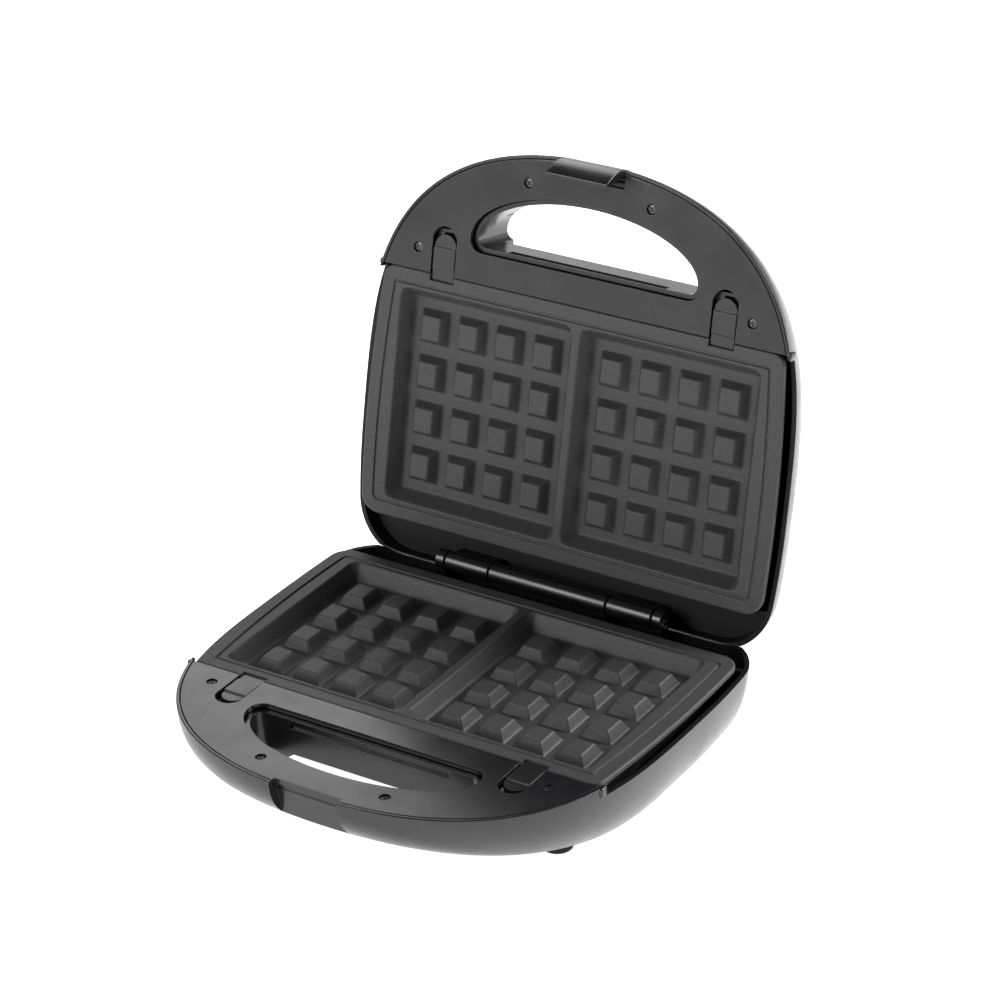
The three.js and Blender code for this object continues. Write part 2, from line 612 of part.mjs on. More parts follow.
function handleCover(latchBackV) {
  const plan = prismN(wholeOf(inset(shellHalf(), COVER_RIM + COVER_GAP)), -COVER_THICK, 0);
  const front = block(-BIG, BIG, PLATE_DEPTH + COVER_GAP, BIG, -BIG, BIG);
  const hole = prismN(wholeOf(inset(holeHalf(), -COVER_GAP)), -BIG, BIG);
  const pocketMouth = block(-POCKET_HALF_WIDTH, POCKET_HALF_WIDTH, latchBackV, BIG, -BIG, BIG);
  const screwSeats = screwPlaces().map(([x, v]) => (
    rod('n', SCREW_HEAD_RADIUS + SCREW_CLEARANCE, SCREW_SEAT - FIT_GAP / 2, BIG, x, v, SCREW_SEGMENTS)));
  const screwHoles = screwPlaces().map(([x, v]) => (
    rod('n', SCREW_SHANK_RADIUS + SCREW_CLEARANCE, -BIG, BIG, x, v, SCREW_SEGMENTS)));
  return cut(common(plan, front), hole, pocketMouth, ...clipSlots(-BIG), ...screwSeats, ...screwHoles);
}

// One pan with sloping walls, standing on side of the middle ridge, from above the rim to its floor.
function cavity(side) {
  const ring = (grow, n) => wholeOf(roundedBoxHalf(CAVITY_HALF_WIDTH + grow, CAVITY_REAR_RIM - grow,
    PLATE_DEPTH - CAVITY_FRONT_RIM + grow, Math.max(CAVITY_CORNER + grow, LEAST_CORNER)))
    .map(([x, v]) => [x + side * CAVITY_CENTRE_X, v, n]);
  return loft([ring((CAVITY_DRAFT * OVERLAP) / CAVITY_DEPTH, OVERLAP), ring(-CAVITY_DRAFT, -CAVITY_DEPTH)]);
}

function roundedBoxHalf(halfWidth, v0, v1, corner) {
  const front = arc(halfWidth - corner, v1 - corner, corner, Math.PI / 2, 0, SMALL_CORNER_STEPS);
  const rear = arc(halfWidth - corner, v0 + corner, corner, 0, -Math.PI / 2, SMALL_CORNER_STEPS);
  return [[0, v1], ...front, ...rear, [0, v0]];
}

// One stud with drafted sides, standing on its pan's floor.
function stud(x, v) {
  const ring = (sizeX, sizeV, n) => {
    const half = [[0, sizeV / 2], [sizeX / 2, sizeV / 2], [sizeX / 2, -sizeV / 2], [0, -sizeV / 2]];
    return wholeOf(half).map(([px, pv]) => [x + px, v + pv, n]);
  };
  return loft([ring(STUD_TOP_X, STUD_TOP_V, STUD_HEIGHT - CAVITY_DEPTH),
    ring(STUD_BASE_X, STUD_BASE_V, -CAVITY_DEPTH),
    ring(STUD_BASE_X, STUD_BASE_V, -CAVITY_DEPTH - PLATE_FLOOR_THICK / 2)]);
}

function wafflePlate() {
  const flange = prismN(wholeOf(plateHalf(0)), -FLANGE_THICK, 0);
  const body = prismN(wholeOf(plateHalf(PLATE_BODY_INSET)), -CAVITY_BOTTOM, -FLANGE_THICK / 2);
  const groove = cut(
    prismN(wholeOf(plateHalf(GROOVE_INSET)), -GROOVE_DEPTH, BIG),
    prismN(wholeOf(plateHalf(GROOVE_INSET + GROOVE_WIDTH)), -BIG, BIG));
  let plate = cut(join(flange, body), groove);
  for (const side of SIDES) {
    const notchHalf = CLIP_WIDTH / 2 + NOTCH_GAP;
    const notch = block(side * CLIP_X - notchHalf, side * CLIP_X + notchHalf,
      PLATE_DEPTH - CLIP_NOSE_REACH - NOTCH_GAP, BIG, -NOTCH_DEPTH, BIG);
    plate = cut(plate, cavity(side), notch);
    for (let column = 0; column < STUD_COLUMNS; column += 1) {
      for (let row = 0; row < STUD_ROWS; row += 1) {
        const x = CAVITY_CENTRE_X + (column - (STUD_COLUMNS - 1) / 2) * (STUD_BASE_X + STUD_GAP_X);
        const v = PLATE_DEPTH / 2 + (row - (STUD_ROWS - 1) / 2) * (STUD_BASE_V + STUD_GAP_V);
        plate = join(plate, stud(side * x, v));
      }
    }
  }
  return plate;
}

function heater() {
  const bend = HEATER_BEND;
  const front = PLATE_DEPTH - HEATER_FRONT_MARGIN;
  const rear = HEATER_REAR_MARGIN;
  const path = new THREE.CurvePath();
  const at = (x, v) => new THREE.Vector3(x, v, HEATER_N);
  path.add(new THREE.LineCurve3(at(-HEATER_HALF_X, rear), at(-HEATER_HALF_X, front - bend)));
  path.add(new THREE.QuadraticBezierCurve3(at(-HEATER_HALF_X, front - bend), at(-HEATER_HALF_X, front),
    at(bend - HEATER_HALF_X, front)));
  path.add(new THREE.LineCurve3(at(bend - HEATER_HALF_X, front), at(HEATER_HALF_X - bend, front)));
  path.add(new THREE.QuadraticBezierCurve3(at(HEATER_HALF_X - bend, front), at(HEATER_HALF_X, front),
    at(HEATER_HALF_X, front - bend)));
  path.add(new THREE.LineCurve3(at(HEATER_HALF_X, front - bend), at(HEATER_HALF_X, rear)));
  const section = new THREE.Shape();
  section.absarc(0, 0, HEATER_RADIUS, 0, 2 * Math.PI);
  return solidOf(new THREE.ExtrudeGeometry(section, {
    steps: HEATER_STEPS,
    curveSegments: HEATER_SEGMENTS,
    extrudePath: path,
  }));
}

function tray() {
  const rear = TRAY_END_MARGIN;
  const front = PLATE_DEPTH - TRAY_END_MARGIN;
  const outside = block(-TRAY_HALF_X, TRAY_HALF_X, rear, front, TRAY_BOTTOM, TRAY_TOP);
  const inside = block(TRAY_SHEET - TRAY_HALF_X, TRAY_HALF_X - TRAY_SHEET, rear + TRAY_SHEET,
    front - TRAY_SHEET, TRAY_BOTTOM + TRAY_SHEET, BIG);
  return cut(outside, inside);
}

function screw(x, v) {
  const profile = [[0, SCREW_END], [SCREW_SHANK_RADIUS, SCREW_END + SCREW_POINT],
    [SCREW_SHANK_RADIUS, SCREW_SEAT], [SCREW_HEAD_RADIUS, SCREW_SEAT],
    [SCREW_HEAD_RADIUS, SCREW_HEAD_TOP - SCREW_HEAD_BEVEL],
    [SCREW_HEAD_RADIUS - SCREW_HEAD_BEVEL, SCREW_HEAD_TOP], [0, SCREW_HEAD_TOP]];
  const geometry = new THREE.LatheGeometry(profile.map(([r, n]) => new THREE.Vector2(r, n)), SCREW_SEGMENTS);
  geometry.rotateX(Math.PI / 2);
  geometry.translate(x, v, 0);
  const recess = SCREW_HEAD_TOP - SCREW_CROSS_DEPTH;
  const [long, short] = [SCREW_CROSS_LENGTH / 2, SCREW_CROSS_WIDTH / 2];
  return cut(solidOf(geometry), block(x - long, x + long, v - short, v + short, recess, BIG),
    block(x - short, x + short, v - long, v + long, recess, BIG));
}

function releaseClip(side) {
  const nose = PLATE_DEPTH - CLIP_NOSE_REACH;
  const top = -CLIP_SETBACK;
  const plan = clipPath(side, 0, PLATE_DEPTH + NOTCH_GAP, PLATE_DEPTH + CLIP_END);
  const tongue = prismN(plan, CLIP_UNDERSIDE, top);
  const x0 = side * CLIP_X - CLIP_WIDTH / 2;
  const x1 = side * CLIP_X + CLIP_WIDTH / 2;
  const noseTop = top - CLIP_RIDGE_RISE;
  const noseBlock = block(x0, x1, nose, PLATE_DEPTH + 2 * OVERLAP, noseTop - CLIP_NOSE_THICK, noseTop);
  const thumb = block(x0 - OVERLAP, x1 + OVERLAP, PLATE_DEPTH + CLIP_STEP_V, BIG, top - CLIP_STEP_DROP, BIG);
  const ridgeFront = PLATE_DEPTH + CLIP_RIDGE_V - CLIP_RIDGE_WIDTH;
  const front = block(x0 - OVERLAP, x1 + OVERLAP, -BIG, ridgeFront, noseTop, BIG);
  const tabV = PLATE_DEPTH + CLIP_TAB_V;
  const tab = block(side * CLIP_X - SPRING_RADIUS, side * CLIP_X + SPRING_RADIUS, tabV, tabV + CLIP_TAB_THICK,
    SPRING_N - SPRING_RADIUS, CLIP_UNDERSIDE + OVERLAP);
  return join(cut(tongue, thumb, front), noseBlock, tab);
}

function clipSpring(side) {
  const start = PLATE_DEPTH + CLIP_TAB_V + CLIP_TAB_THICK + FIT_GAP + SPRING_WIRE;
  const length = SPRING_LENGTH - 2 * SPRING_WIRE - FIT_GAP;
  const count = SPRING_TURNS * SPRING_POINTS_PER_TURN;
  const points = [];
  for (let i = 0; i <= count; i += 1) {
    const angle = (2 * Math.PI * i) / SPRING_POINTS_PER_TURN;
    const x = side * CLIP_X + SPRING_RADIUS * Math.cos(angle);
    const n = SPRING_N + SPRING_RADIUS * Math.sin(angle);
    points.push(new THREE.Vector3(x, start + (length * i) / count, n));
  }
  const wire = new THREE.Shape();
  wire.absarc(0, 0, SPRING_WIRE, 0, 2 * Math.PI);
  return solidOf(new THREE.ExtrudeGeometry(wire, {
    steps: SPRING_TURNS * SPRING_STEPS_PER_TURN,
    curveSegments: SPRING_SEGMENTS,
    extrudePath: new THREE.CatmullRomCurve3(points),
  }));
}

// Back of the catch pocket: a plane sloping in under the handle, with a groove under its top edge.
function basePocketBack() {
  const at = (n) => PLATE_DEPTH + POCKET_LEDGE_V + POCKET_SLOPE * n;
  const groove = at(0) - CATCH_DEPTH;
  const grooveEnd = COVER_SEAT - CATCH_HEIGHT;
  return [[at(0), BIG], [at(0), COVER_SEAT], [groove, COVER_SEAT], [groove, grooveEnd],
    [at(grooveEnd), grooveEnd], [at(-HANDLE_END_DEPTH), -HANDLE_END_DEPTH]];
}

function lidPocketBack() {
  return [[PLATE_DEPTH + LID_POCKET_BACK_V, BIG], [PLATE_DEPTH + LID_POCKET_BACK_V, -POCKET_DEPTH]];
}

// The latch's section in the lid: a bowed back over the end of the handle, an eye on the pin, and an
// inner face that lies LATCH_GAP off the closed base's pocket with one ridge in the catch groove.
function latchSection() {
  const ledge = POCKET_LEDGE_V + LATCH_GAP;
  const pocketFace = (n) => ledge - POCKET_SLOPE * Math.max(0, n - MATING_GAP);
  const crown = HANDLE_REACH + LATCH_BULGE;
  const fall = crown - pocketFace(LATCH_REACH) - LATCH_LIP_THICK;
  const back = [];
  for (let i = 0; i <= LATCH_BACK_STEPS; i += 1) {
    const n = LATCH_REACH - ((LATCH_REACH + LATCH_TAIL) * i) / LATCH_BACK_STEPS;
    back.push([crown - fall * (n / LATCH_REACH) ** 2, n]);
  }
  const ridgeTop = MATING_GAP - COVER_SEAT + CATCH_GAP;
  const ridgeEnd = ridgeTop + CATCH_HEIGHT - 2 * CATCH_GAP;
  const ridgeV = POCKET_LEDGE_V - CATCH_DEPTH + CATCH_GAP;
  const front = [[LATCH_PIVOT_V, -LATCH_TAIL], [LATCH_PIVOT_V, LATCH_PIVOT_N + LATCH_EYE_RADIUS],
    [ledge, -LATCH_EYE_RADIUS], [ledge, ridgeTop - LATCH_RIDGE_BEVEL],
    [ridgeV, ridgeTop + LATCH_RIDGE_BEVEL], [ridgeV, ridgeEnd - LATCH_RIDGE_BEVEL],
    [pocketFace(ridgeEnd), ridgeEnd], [pocketFace(LATCH_REACH), LATCH_REACH]];
  return [...back, ...front].map(([v, n]) => [v + PLATE_DEPTH, n]);
}

function latch() {
  const pivot = [PLATE_DEPTH + LATCH_PIVOT_V, LATCH_PIVOT_N];
  const eye = rod('x', LATCH_EYE_RADIUS, -LATCH_HALF_WIDTH, LATCH_HALF_WIDTH, ...pivot);
  const bore = rod('x', LATCH_PIN_RADIUS + PIN_CLEARANCE, -BIG, BIG, ...pivot, SCREW_SEGMENTS);
  return cut(join(prismX(latchSection(), -LATCH_HALF_WIDTH, LATCH_HALF_WIDTH), eye), bore);
}

function gland() {
  const at = [GLAND_X, -GLAND_DROP];
  const start = -SHELL_REAR - GLAND_START;
  const neck = rod('v', GLAND_RADIUS, start, start + GLAND_LENGTH, ...at);
  const collar = rod('v', GLAND_FLANGE, start - GLAND_FLANGE_OUT, start + GLAND_FLANGE_IN, ...at);
  return cut(join(neck, collar), rod('v', GLAND_BORE, -BIG, BIG, ...at, SCREW_SEGMENTS));
}

// ---------- finishes ----------

const finish = (colour, roughness, metalness = 0) => (
  () => new THREE.MeshStandardMaterial({ color: colour, roughness, metalness }));
const SATIN_BLACK = finish(0x26262a, 0.38);
const COVER_BLACK = finish(0x2c2c2f, 0.45);
const NON_STICK = finish(0x3b3b3d, 0.6, 0.1);
const STEEL = finish(0xa8a8ac, 0.35, 0.9);
const DARK_STEEL = finish(0x55555a, 0.4, 0.9);
const TRAY_STEEL = finish(0xc2c4c6, 0.4, 0.85);
const RUBBER = finish(0x151515, 0.9);
const CERAMIC = finish(0xd9d4c8, 0.7);
const RED_LENS = finish(0xb01616, 0.2);
const GREEN_LENS = finish(0x1c8f35, 0.2);

function piece(name, solid, material) {
  const mesh = new THREE.Mesh(geometryOf(solid), material());
  mesh.name = name;
  return mesh;
}

// ---------- the two halves ----------

const sideName = (worldSide) => (worldSide < 0 ? 'left' : 'right');

// The pieces that both halves have. turn is +1 where the half's X runs along the world's, else -1.
function sharedPieces(prefix, plateName, turn, latchBackV) {
  const pieces = [piece(`${prefix}_handle_cover`, handleCover(latchBackV), COVER_BLACK)];
  screwPlaces().forEach(([x, v], i) => (
    pieces.push(piece(`${prefix}_cover_screw_${i + 1}`, screw(x, v), DARK_STEEL))));
  pieces.push(piece(`${plateName}_waffle_plate`, wafflePlate(), NON_STICK));
  pieces.push(piece(`${plateName}_heater`, heater(), STEEL));
  pieces.push(piece(`${plateName}_reflector`, tray(), TRAY_STEEL));
  for (const side of SIDES) {
    const where = sideName(side * turn);
    pieces.push(piece(`${plateName}_clip_${where}`, releaseClip(side), SATIN_BLACK));
    pieces.push(piece(`${plateName}_clip_spring_${where}`, clipSpring(side), STEEL));
  }
  return pieces;
}

function baseHalf() {
  const feet = [];
  for (const v of [FOOT_REAR_V, FOOT_FRONT_V]) {
    for (const x of [-FOOT_X, FOOT_X]) {
      feet.push({ x, v, top: FOOT_SOCKET - depthAt(BASE_DEPTH, v + FOOT_RADIUS) });
    }
  }
  const pinBore = PIN_RADIUS + PIN_CLEARANCE;
  const pinEnd = EAR_INNER_X + EAR_THICK;
  const pinStart = BARREL_MIDDLE_HALF - PIN_DEPTH_IN_MIDDLE;
  const barrels = [{ from: -BARREL_MIDDLE_HALF, to: BARREL_MIDDLE_HALF },
    { from: -pinEnd, to: -EAR_INNER_X }, { from: EAR_INNER_X, to: pinEnd }];
  const glandHole = rod('v', GLAND_RADIUS + FIT_GAP, -SHELL_REAR - GLAND_LENGTH,
    -SHELL_REAR + GLAND_LENGTH + 2 * OVERLAP, GLAND_X, -GLAND_DROP);
  const pinBores = SIDES.map((side) => {
    const [from, to] = inOrder(side * (pinStart - FIT_GAP), side * BIG);
    return rod('x', pinBore, from, to, HINGE_V, HINGE_N, SCREW_SEGMENTS);
  });
  const shell = cut(housing({
    depth: BASE_DEPTH,
    fullInset: BASE_INSET,
    barrels,
    pocketBack: basePocketBack(),
    feet,
    extraCuts: [glandHole],
  }), ...pinBores);
  const half = new THREE.Group();
  half.position.set(0, PLATE_EDGE_Y, MATING_Z);
  half.rotation.z = Math.PI;
  half.add(piece('base_housing', shell, SATIN_BLACK));
  half.add(...sharedPieces('base', 'lower', -1, PLATE_DEPTH + POCKET_LEDGE_V));
  feet.forEach(({ x, v, top }, i) => {
    const foot = rod('n', FOOT_RADIUS, -BASE_DEPTH - FOOT_PROUD, top - FIT_GAP, x, v);
    half.add(piece(`foot_${i + 1}`, foot, RUBBER));
  });
  half.add(piece('cord_gland', gland(), RUBBER));
  const seat = TRAY_BOTTOM + TRAY_SHEET + FIT_GAP;
  const disc = rod('n', THERMOSTAT_RADIUS, seat, seat + THERMOSTAT_HEIGHT, 0, PLATE_DEPTH / 2);
  const fuse = rod('x', FUSE_RADIUS, -FUSE_HALF_LENGTH, FUSE_HALF_LENGTH, PLATE_DEPTH / 3, seat + FUSE_RADIUS,
    SCREW_SEGMENTS);
  half.add(piece('thermostat', disc, CERAMIC));
  half.add(piece('thermal_fuse', fuse, STEEL));
  for (const side of SIDES) {
    const [from, to] = inOrder(side * pinStart, side * pinEnd);
    const pin = rod('x', PIN_RADIUS, from, to, HINGE_V, HINGE_N, SCREW_SEGMENTS);
    half.add(piece(`hinge_pin_${sideName(-side)}`, pin, STEEL));
  }
  return half;
}

function lidHalf() {
  const inner = BARREL_MIDDLE_HALF + BARREL_GAP;
  const barrels = SIDES.map((side) => {
    const [from, to] = inOrder(side * inner, side * (inner + BARREL_LID_LENGTH));
    return { from, to };
  });
  const pinAt = [PLATE_DEPTH + LATCH_PIVOT_V, LATCH_PIVOT_N];
  const lampHoles = SIDES.map((side) => (
    rod('n', LAMP_RADIUS + FIT_GAP, -BIG, -LID_DEPTH + LAMP_LENGTH + OVERLAP, side * LAMP_X, LAMP_V)));
  const holeEnd = LATCH_PIN_HALF + FIT_GAP;
  const latchPinHole = rod('x', LATCH_PIN_RADIUS + FIT_GAP, -holeEnd, holeEnd, ...pinAt, SCREW_SEGMENTS);
  const latchPin = rod('x', LATCH_PIN_RADIUS, -LATCH_PIN_HALF, LATCH_PIN_HALF, ...pinAt, SCREW_SEGMENTS);
  const shell = cut(housing({
    depth: LID_DEPTH,
    fullInset: LID_INSET,
    barrels,
    pocketBack: lidPocketBack(),
    feet: [],
    extraCuts: [...lampHoles, latchPinHole],
  }), rod('x', PIN_RADIUS + PIN_CLEARANCE, -BIG, BIG, HINGE_V, HINGE_N, SCREW_SEGMENTS));
  const half = new THREE.Group();
  half.position.set(0, -HINGE_V, -HINGE_N);
  half.add(piece('lid_housing', shell, SATIN_BLACK));
  half.add(...sharedPieces('lid', 'upper', 1, PLATE_DEPTH + LID_POCKET_BACK_V));
  half.add(piece('latch', latch(), SATIN_BLACK));
  half.add(piece('latch_pin', latchPin, STEEL));
  const lamps = [['power_lamp', -1, RED_LENS], ['ready_lamp', 1, GREEN_LENS]];
  for (const [name, side, lens] of lamps) {
    const end = -LID_DEPTH - LAMP_PROUD;
    half.add(piece(name, rod('n', LAMP_RADIUS, end, end + LAMP_LENGTH, side * LAMP_X, LAMP_V), lens));
  }
  return half;
}

const hinge = new THREE.Group();
hinge.position.set(0, PLATE_EDGE_Y - HINGE_V, MATING_Z + HINGE_N);
hinge.rotation.x = Math.PI - rad(OPEN_ANGLE);
hinge.add(lidHalf());

const waffleMaker = new THREE.Group();
waffleMaker.add(baseHalf(), hinge);

export default waffleMaker;
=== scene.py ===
"""Waffle maker, standing open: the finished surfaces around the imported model.

Each half of the clamshell is drawn in its own coordinates, in millimetres: x across, v from the
plate's hinge-side edge towards the handle, and n out of the cooking face, which lies at n = 0.
A half's placement, worked out from the frame, turns them into the row frame in metres.
"""
import json
import logging
import math
from dataclasses import dataclass, field
from enum import Enum
from typing import Callable, Iterable, Sequence

import bmesh
import bpy
import numpy as np
from mathutils import Matrix, Vector
from mathutils.geometry import tessellate_polygon


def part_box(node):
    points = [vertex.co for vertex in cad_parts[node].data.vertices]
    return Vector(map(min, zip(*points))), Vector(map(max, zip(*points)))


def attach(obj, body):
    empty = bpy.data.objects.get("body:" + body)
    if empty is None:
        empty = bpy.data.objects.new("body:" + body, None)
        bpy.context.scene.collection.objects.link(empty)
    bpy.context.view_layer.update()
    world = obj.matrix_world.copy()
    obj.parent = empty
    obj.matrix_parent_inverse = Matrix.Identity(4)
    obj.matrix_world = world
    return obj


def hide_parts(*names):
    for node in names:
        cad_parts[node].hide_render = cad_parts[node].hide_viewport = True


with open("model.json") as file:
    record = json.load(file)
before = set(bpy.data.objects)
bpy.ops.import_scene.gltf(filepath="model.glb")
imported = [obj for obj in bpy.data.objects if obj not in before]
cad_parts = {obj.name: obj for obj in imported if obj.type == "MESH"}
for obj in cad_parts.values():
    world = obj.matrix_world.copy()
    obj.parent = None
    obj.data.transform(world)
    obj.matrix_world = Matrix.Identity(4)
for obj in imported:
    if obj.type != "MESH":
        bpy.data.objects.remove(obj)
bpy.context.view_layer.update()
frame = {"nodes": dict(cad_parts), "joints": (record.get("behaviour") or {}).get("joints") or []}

LOG = logging.getLogger("waffle_maker")

MM = 0.001
FAR = 400.0
SHARP_ANGLE = math.radians(34)

Point = tuple[float, float]
Socket = bpy.types.NodeSocket


# ---------------------------------------------------------------- placement


class Half(Enum):
    """The two halves of the clamshell; the value is also the CAD body's name."""

    BASE = "base"
    LID = "lid"


@dataclass(frozen=True)
class Frame:
    """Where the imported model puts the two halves."""

    plate_edge: float
    mating: float
    hinge: Vector
    open_angle: float

    @classmethod
    def read(cls) -> "Frame":
        """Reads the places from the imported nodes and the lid's joint.

        Returns:
            The frame, in metres and radians.
        """
        _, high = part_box("lower_waffle_plate")
        joint = next(j for j in frame["joints"] if j["name"] == "lid_hinge")
        return cls(high[1], high[2], Vector(joint["pos_m"]), math.radians(joint["range_deg"][1]))

    @property
    def hinge_v(self) -> float:
        """The hinge axis's v in a half, in mm."""
        return (self.plate_edge - self.hinge.y) / MM

    @property
    def hinge_n(self) -> float:
        """The hinge axis's n in a half, in mm."""
        return (self.hinge.z - self.mating) / MM

    def placement(self, half: Half) -> Matrix:
        """Gives the matrix from a half's millimetres to the row frame's metres.

        Args:
            half: Which half.

        Returns:
            A 4 by 4 matrix.
        """
        if half is Half.BASE:
            place = Matrix.Translation((0, self.plate_edge, self.mating))
            return place @ Matrix.Diagonal((-MM, -MM, MM, 1))
        turn = Matrix.Rotation(math.pi - self.open_angle, 4, "X")
        inner = Matrix.Translation((0, -self.hinge_v, -self.hinge_n))
        return Matrix.Translation(self.hinge) @ turn @ Matrix.Scale(MM, 4) @ inner


PLACES = Frame.read()
SIDES = (-1, 1)


def world_side(half: Half, side: int) -> str:
    """Names the side of the row frame that a half's side is on.

    Args:
        half: Which half.
        side: -1 or 1 along the half's x.

    Returns:
        "left" or "right".
    """
    turned = -side if half is Half.BASE else side
    return "left" if turned < 0 else "right"


# ---------------------------------------------------------------- solids


class Solid:
    """A closed mesh in a half's millimetres, which can be joined, cut and shared."""

    def __init__(self, mesh: bpy.types.Mesh) -> None:
        """Keeps the mesh."""
        self.mesh = mesh

    @classmethod
    def of(cls, points: Iterable[Sequence[float]], faces: Iterable[Sequence[int]]) -> "Solid":
        """Builds a solid whose faces all point outwards.

        Args:
            points: The vertices.
            faces: Vertex numbers of each face.

        Returns:
            The solid.
        """
        shape = bmesh.new()
        verts = [shape.verts.new(p) for p in points]
        for face in faces:
            corners = list(dict.fromkeys(face))
            if len(corners) > 2:
                shape.faces.new([verts[i] for i in corners])
        bmesh.ops.recalc_face_normals(shape, faces=shape.faces)
        if shape.calc_volume(signed=True) < 0:
            bmesh.ops.reverse_faces(shape, faces=shape.faces)
        mesh = bpy.data.meshes.new("solid")
        shape.to_mesh(mesh)
        shape.free()
        return cls(mesh)

    @classmethod
    def gather(cls, solids: Iterable["Solid"]) -> "Solid":
        """Puts solids that don't touch each other into one mesh."""
        shape = bmesh.new()
        for solid in solids:
            shape.from_mesh(solid.mesh)
        mesh = bpy.data.meshes.new("solid")
        shape.to_mesh(mesh)
        shape.free()
        return cls(mesh)

    def _combine(self, other: "Solid", operation: str) -> "Solid":
        """Runs one boolean.

        Args:
            other: The second solid.
            operation: UNION, DIFFERENCE or INTERSECT.

        Returns:
            The result.
        """
        first = bpy.data.objects.new("first", self.mesh)
        second = bpy.data.objects.new("second", other.mesh)
        for thing in (first, second):
            bpy.context.scene.collection.objects.link(thing)
        step = first.modifiers.new("step", "BOOLEAN")
        step.operation = operation
        step.solver = "MANIFOLD"
        step.object = second
        bpy.context.view_layer.update()
        graph = bpy.context.evaluated_depsgraph_get()
        mesh = bpy.data.meshes.new_from_object(first.evaluated_get(graph))
        for thing in (first, second):
            bpy.data.objects.remove(thing)
        return Solid(mesh)

    def join(self, *others: "Solid") -> "Solid":
        """Adds other solids to this one."""
        result = self
        for other in others:
            result = result._combine(other, "UNION")
        return result

    def cut(self, *others: "Solid") -> "Solid":
        """Takes other solids out of this one."""
        result = self
        for other in others:
            result = result._combine(other, "DIFFERENCE")
        return result

    def within(self, other: "Solid") -> "Solid":
        """Keeps what this solid shares with another."""
        return self._combine(other, "INTERSECT")


def ladder_cap(start: int, count: int) -> list[tuple[int, ...]]:
    """Closes a symmetric ring with rungs between mirrored points.

    Args:
        start: Number of the ring's first vertex.
        count: Points in the ring.

    Returns:
        The faces.
    """
    return [
        (start + i, start + i + 1, start + count - i - 1, start + (count - i) % count)
        for i in range(count // 2)
    ]


def loft(rings: Sequence[np.ndarray]) -> Solid:
    """Skins rings of equal count and closes both ends.

    Args:
        rings: Arrays of (x, v, n), each symmetric about x = 0 in whole()'s order.

    Returns:
        The solid.
    """
    count = len(rings[0])
    faces: list[tuple[int, ...]] = []
    for level in range(len(rings) - 1):
        a = level * count
        faces += [
            (a + i, a + (i + 1) % count, a + count + (i + 1) % count, a + count + i) for i in range(count)
        ]
    faces += ladder_cap(0, count)
    faces += ladder_cap((len(rings) - 1) * count, count)
    return Solid.of(np.concatenate(rings), faces)


def block(x0: float, x1: float, v0: float, v1: float, n0: float, n1: float) -> Solid:
    """Makes a box from its lowest and highest corners."""
    points = [(x, v, n) for n in (n0, n1) for x, v in ((x0, v0), (x1, v0), (x1, v1), (x0, v1))]
    faces = [(0, 1, 2, 3), (4, 5, 6, 7), (0, 1, 5, 4), (1, 2, 6, 5), (2, 3, 7, 6), (3, 0, 4, 7)]
    return Solid.of(points, faces)


def prism(
    points: Sequence[Point], low: float, high: float, place: Callable[[float, float, float], tuple]
) -> Solid:
    """Carries an outline straight from low to high.

    Args:
        points: The outline.
        low: Where it starts.
        high: Where it ends.
        place: Turns (a, b, along) into (x, v, n).

    Returns:
        The solid.
    """
    count = len(points)
    verts = [place(a, b, along) for along in (low, high) for a, b in points]
    faces: list[tuple[int, ...]] = [tuple(range(count)), tuple(range(count, 2 * count))]
    faces += [(i, (i + 1) % count, count + (i + 1) % count, count + i) for i in range(count)]
    return Solid.of(verts, faces)


def prism_n(points: Sequence[Point], n0: float, n1: float) -> Solid:
    """Carries a plan outline (x, v) along n."""
    return prism(points, n0, n1, lambda a, b, along: (a, b, along))


def prism_x(points: Sequence[Point], x0: float, x1: float) -> Solid:
    """Carries a section (v, n) along x."""
    return prism(points, x0, x1, lambda a, b, along: (along, a, b))


class Axis(Enum):
    """Which way a turned piece points."""

    X = "x"
    V = "v"
    N = "n"


def turned(axis: Axis, profile: Sequence[Point], a: float, b: float, segments: int = 48) -> Solid:
    """Turns a profile of (radius, along) about an axis; it starts and ends on the axis.

    Args:
        axis: The way the piece points.
        profile: The profile's points between its two ends on the axis.
        a: First place across the axis: v for X, else x.
        b: Second place across the axis: n, or v for N.
        segments: Steps round the axis.

    Returns:
        The solid.
    """
    def place(radius: float, angle: float, along: float) -> tuple[float, float, float]:
        """Puts one point of the turned surface in place."""
        c, s = radius * math.cos(angle), radius * math.sin(angle)
        places = {Axis.X: (along, a + c, b + s), Axis.V: (a + c, along, b + s), Axis.N: (a + c, b + s, along)}
        return places[axis]

    turns = [2 * math.pi * i / segments for i in range(segments)]
    points = [place(radius, angle, along) for radius, along in profile for angle in turns]
    faces: list[tuple[int, ...]] = []
    for level in range(len(profile) - 1):
        start = level * segments
        for i in range(segments):
            j = (i + 1) % segments
            faces.append((start + i, start + j, start + segments + j, start + segments + i))
    faces.append(tuple(range(segments)))
    faces.append(tuple(range((len(profile) - 1) * segments, len(profile) * segments)))
    return Solid.of(points, faces)


def rod(axis: Axis, radius: float, low: float, high: float, a: float, b: float, edge: float = 0.0) -> Solid:
    """Makes a round bar with rounded ends.

    Args:
        axis: The way it points.
        radius: Its radius.
        low: Where it starts.
        high: Where it ends.
        a: First place across, as in turned().
        b: Second place across.
        edge: Radius of the edge round each end; 0 leaves it sharp.

    Returns:
        The solid.
    """
    if edge == 0:
        return turned(axis, [(radius, low), (radius, high)], a, b)
    bends = [math.pi / 2 * i / 4 for i in range(5)]
    start = [(radius - edge + edge * math.sin(t), low + edge - edge * math.cos(t)) for t in bends]
    finish = [(radius - edge + edge * math.cos(t), high - edge + edge * math.sin(t)) for t in bends]
    return turned(axis, start + finish, a, b)


# ---------------------------------------------------------------- outlines


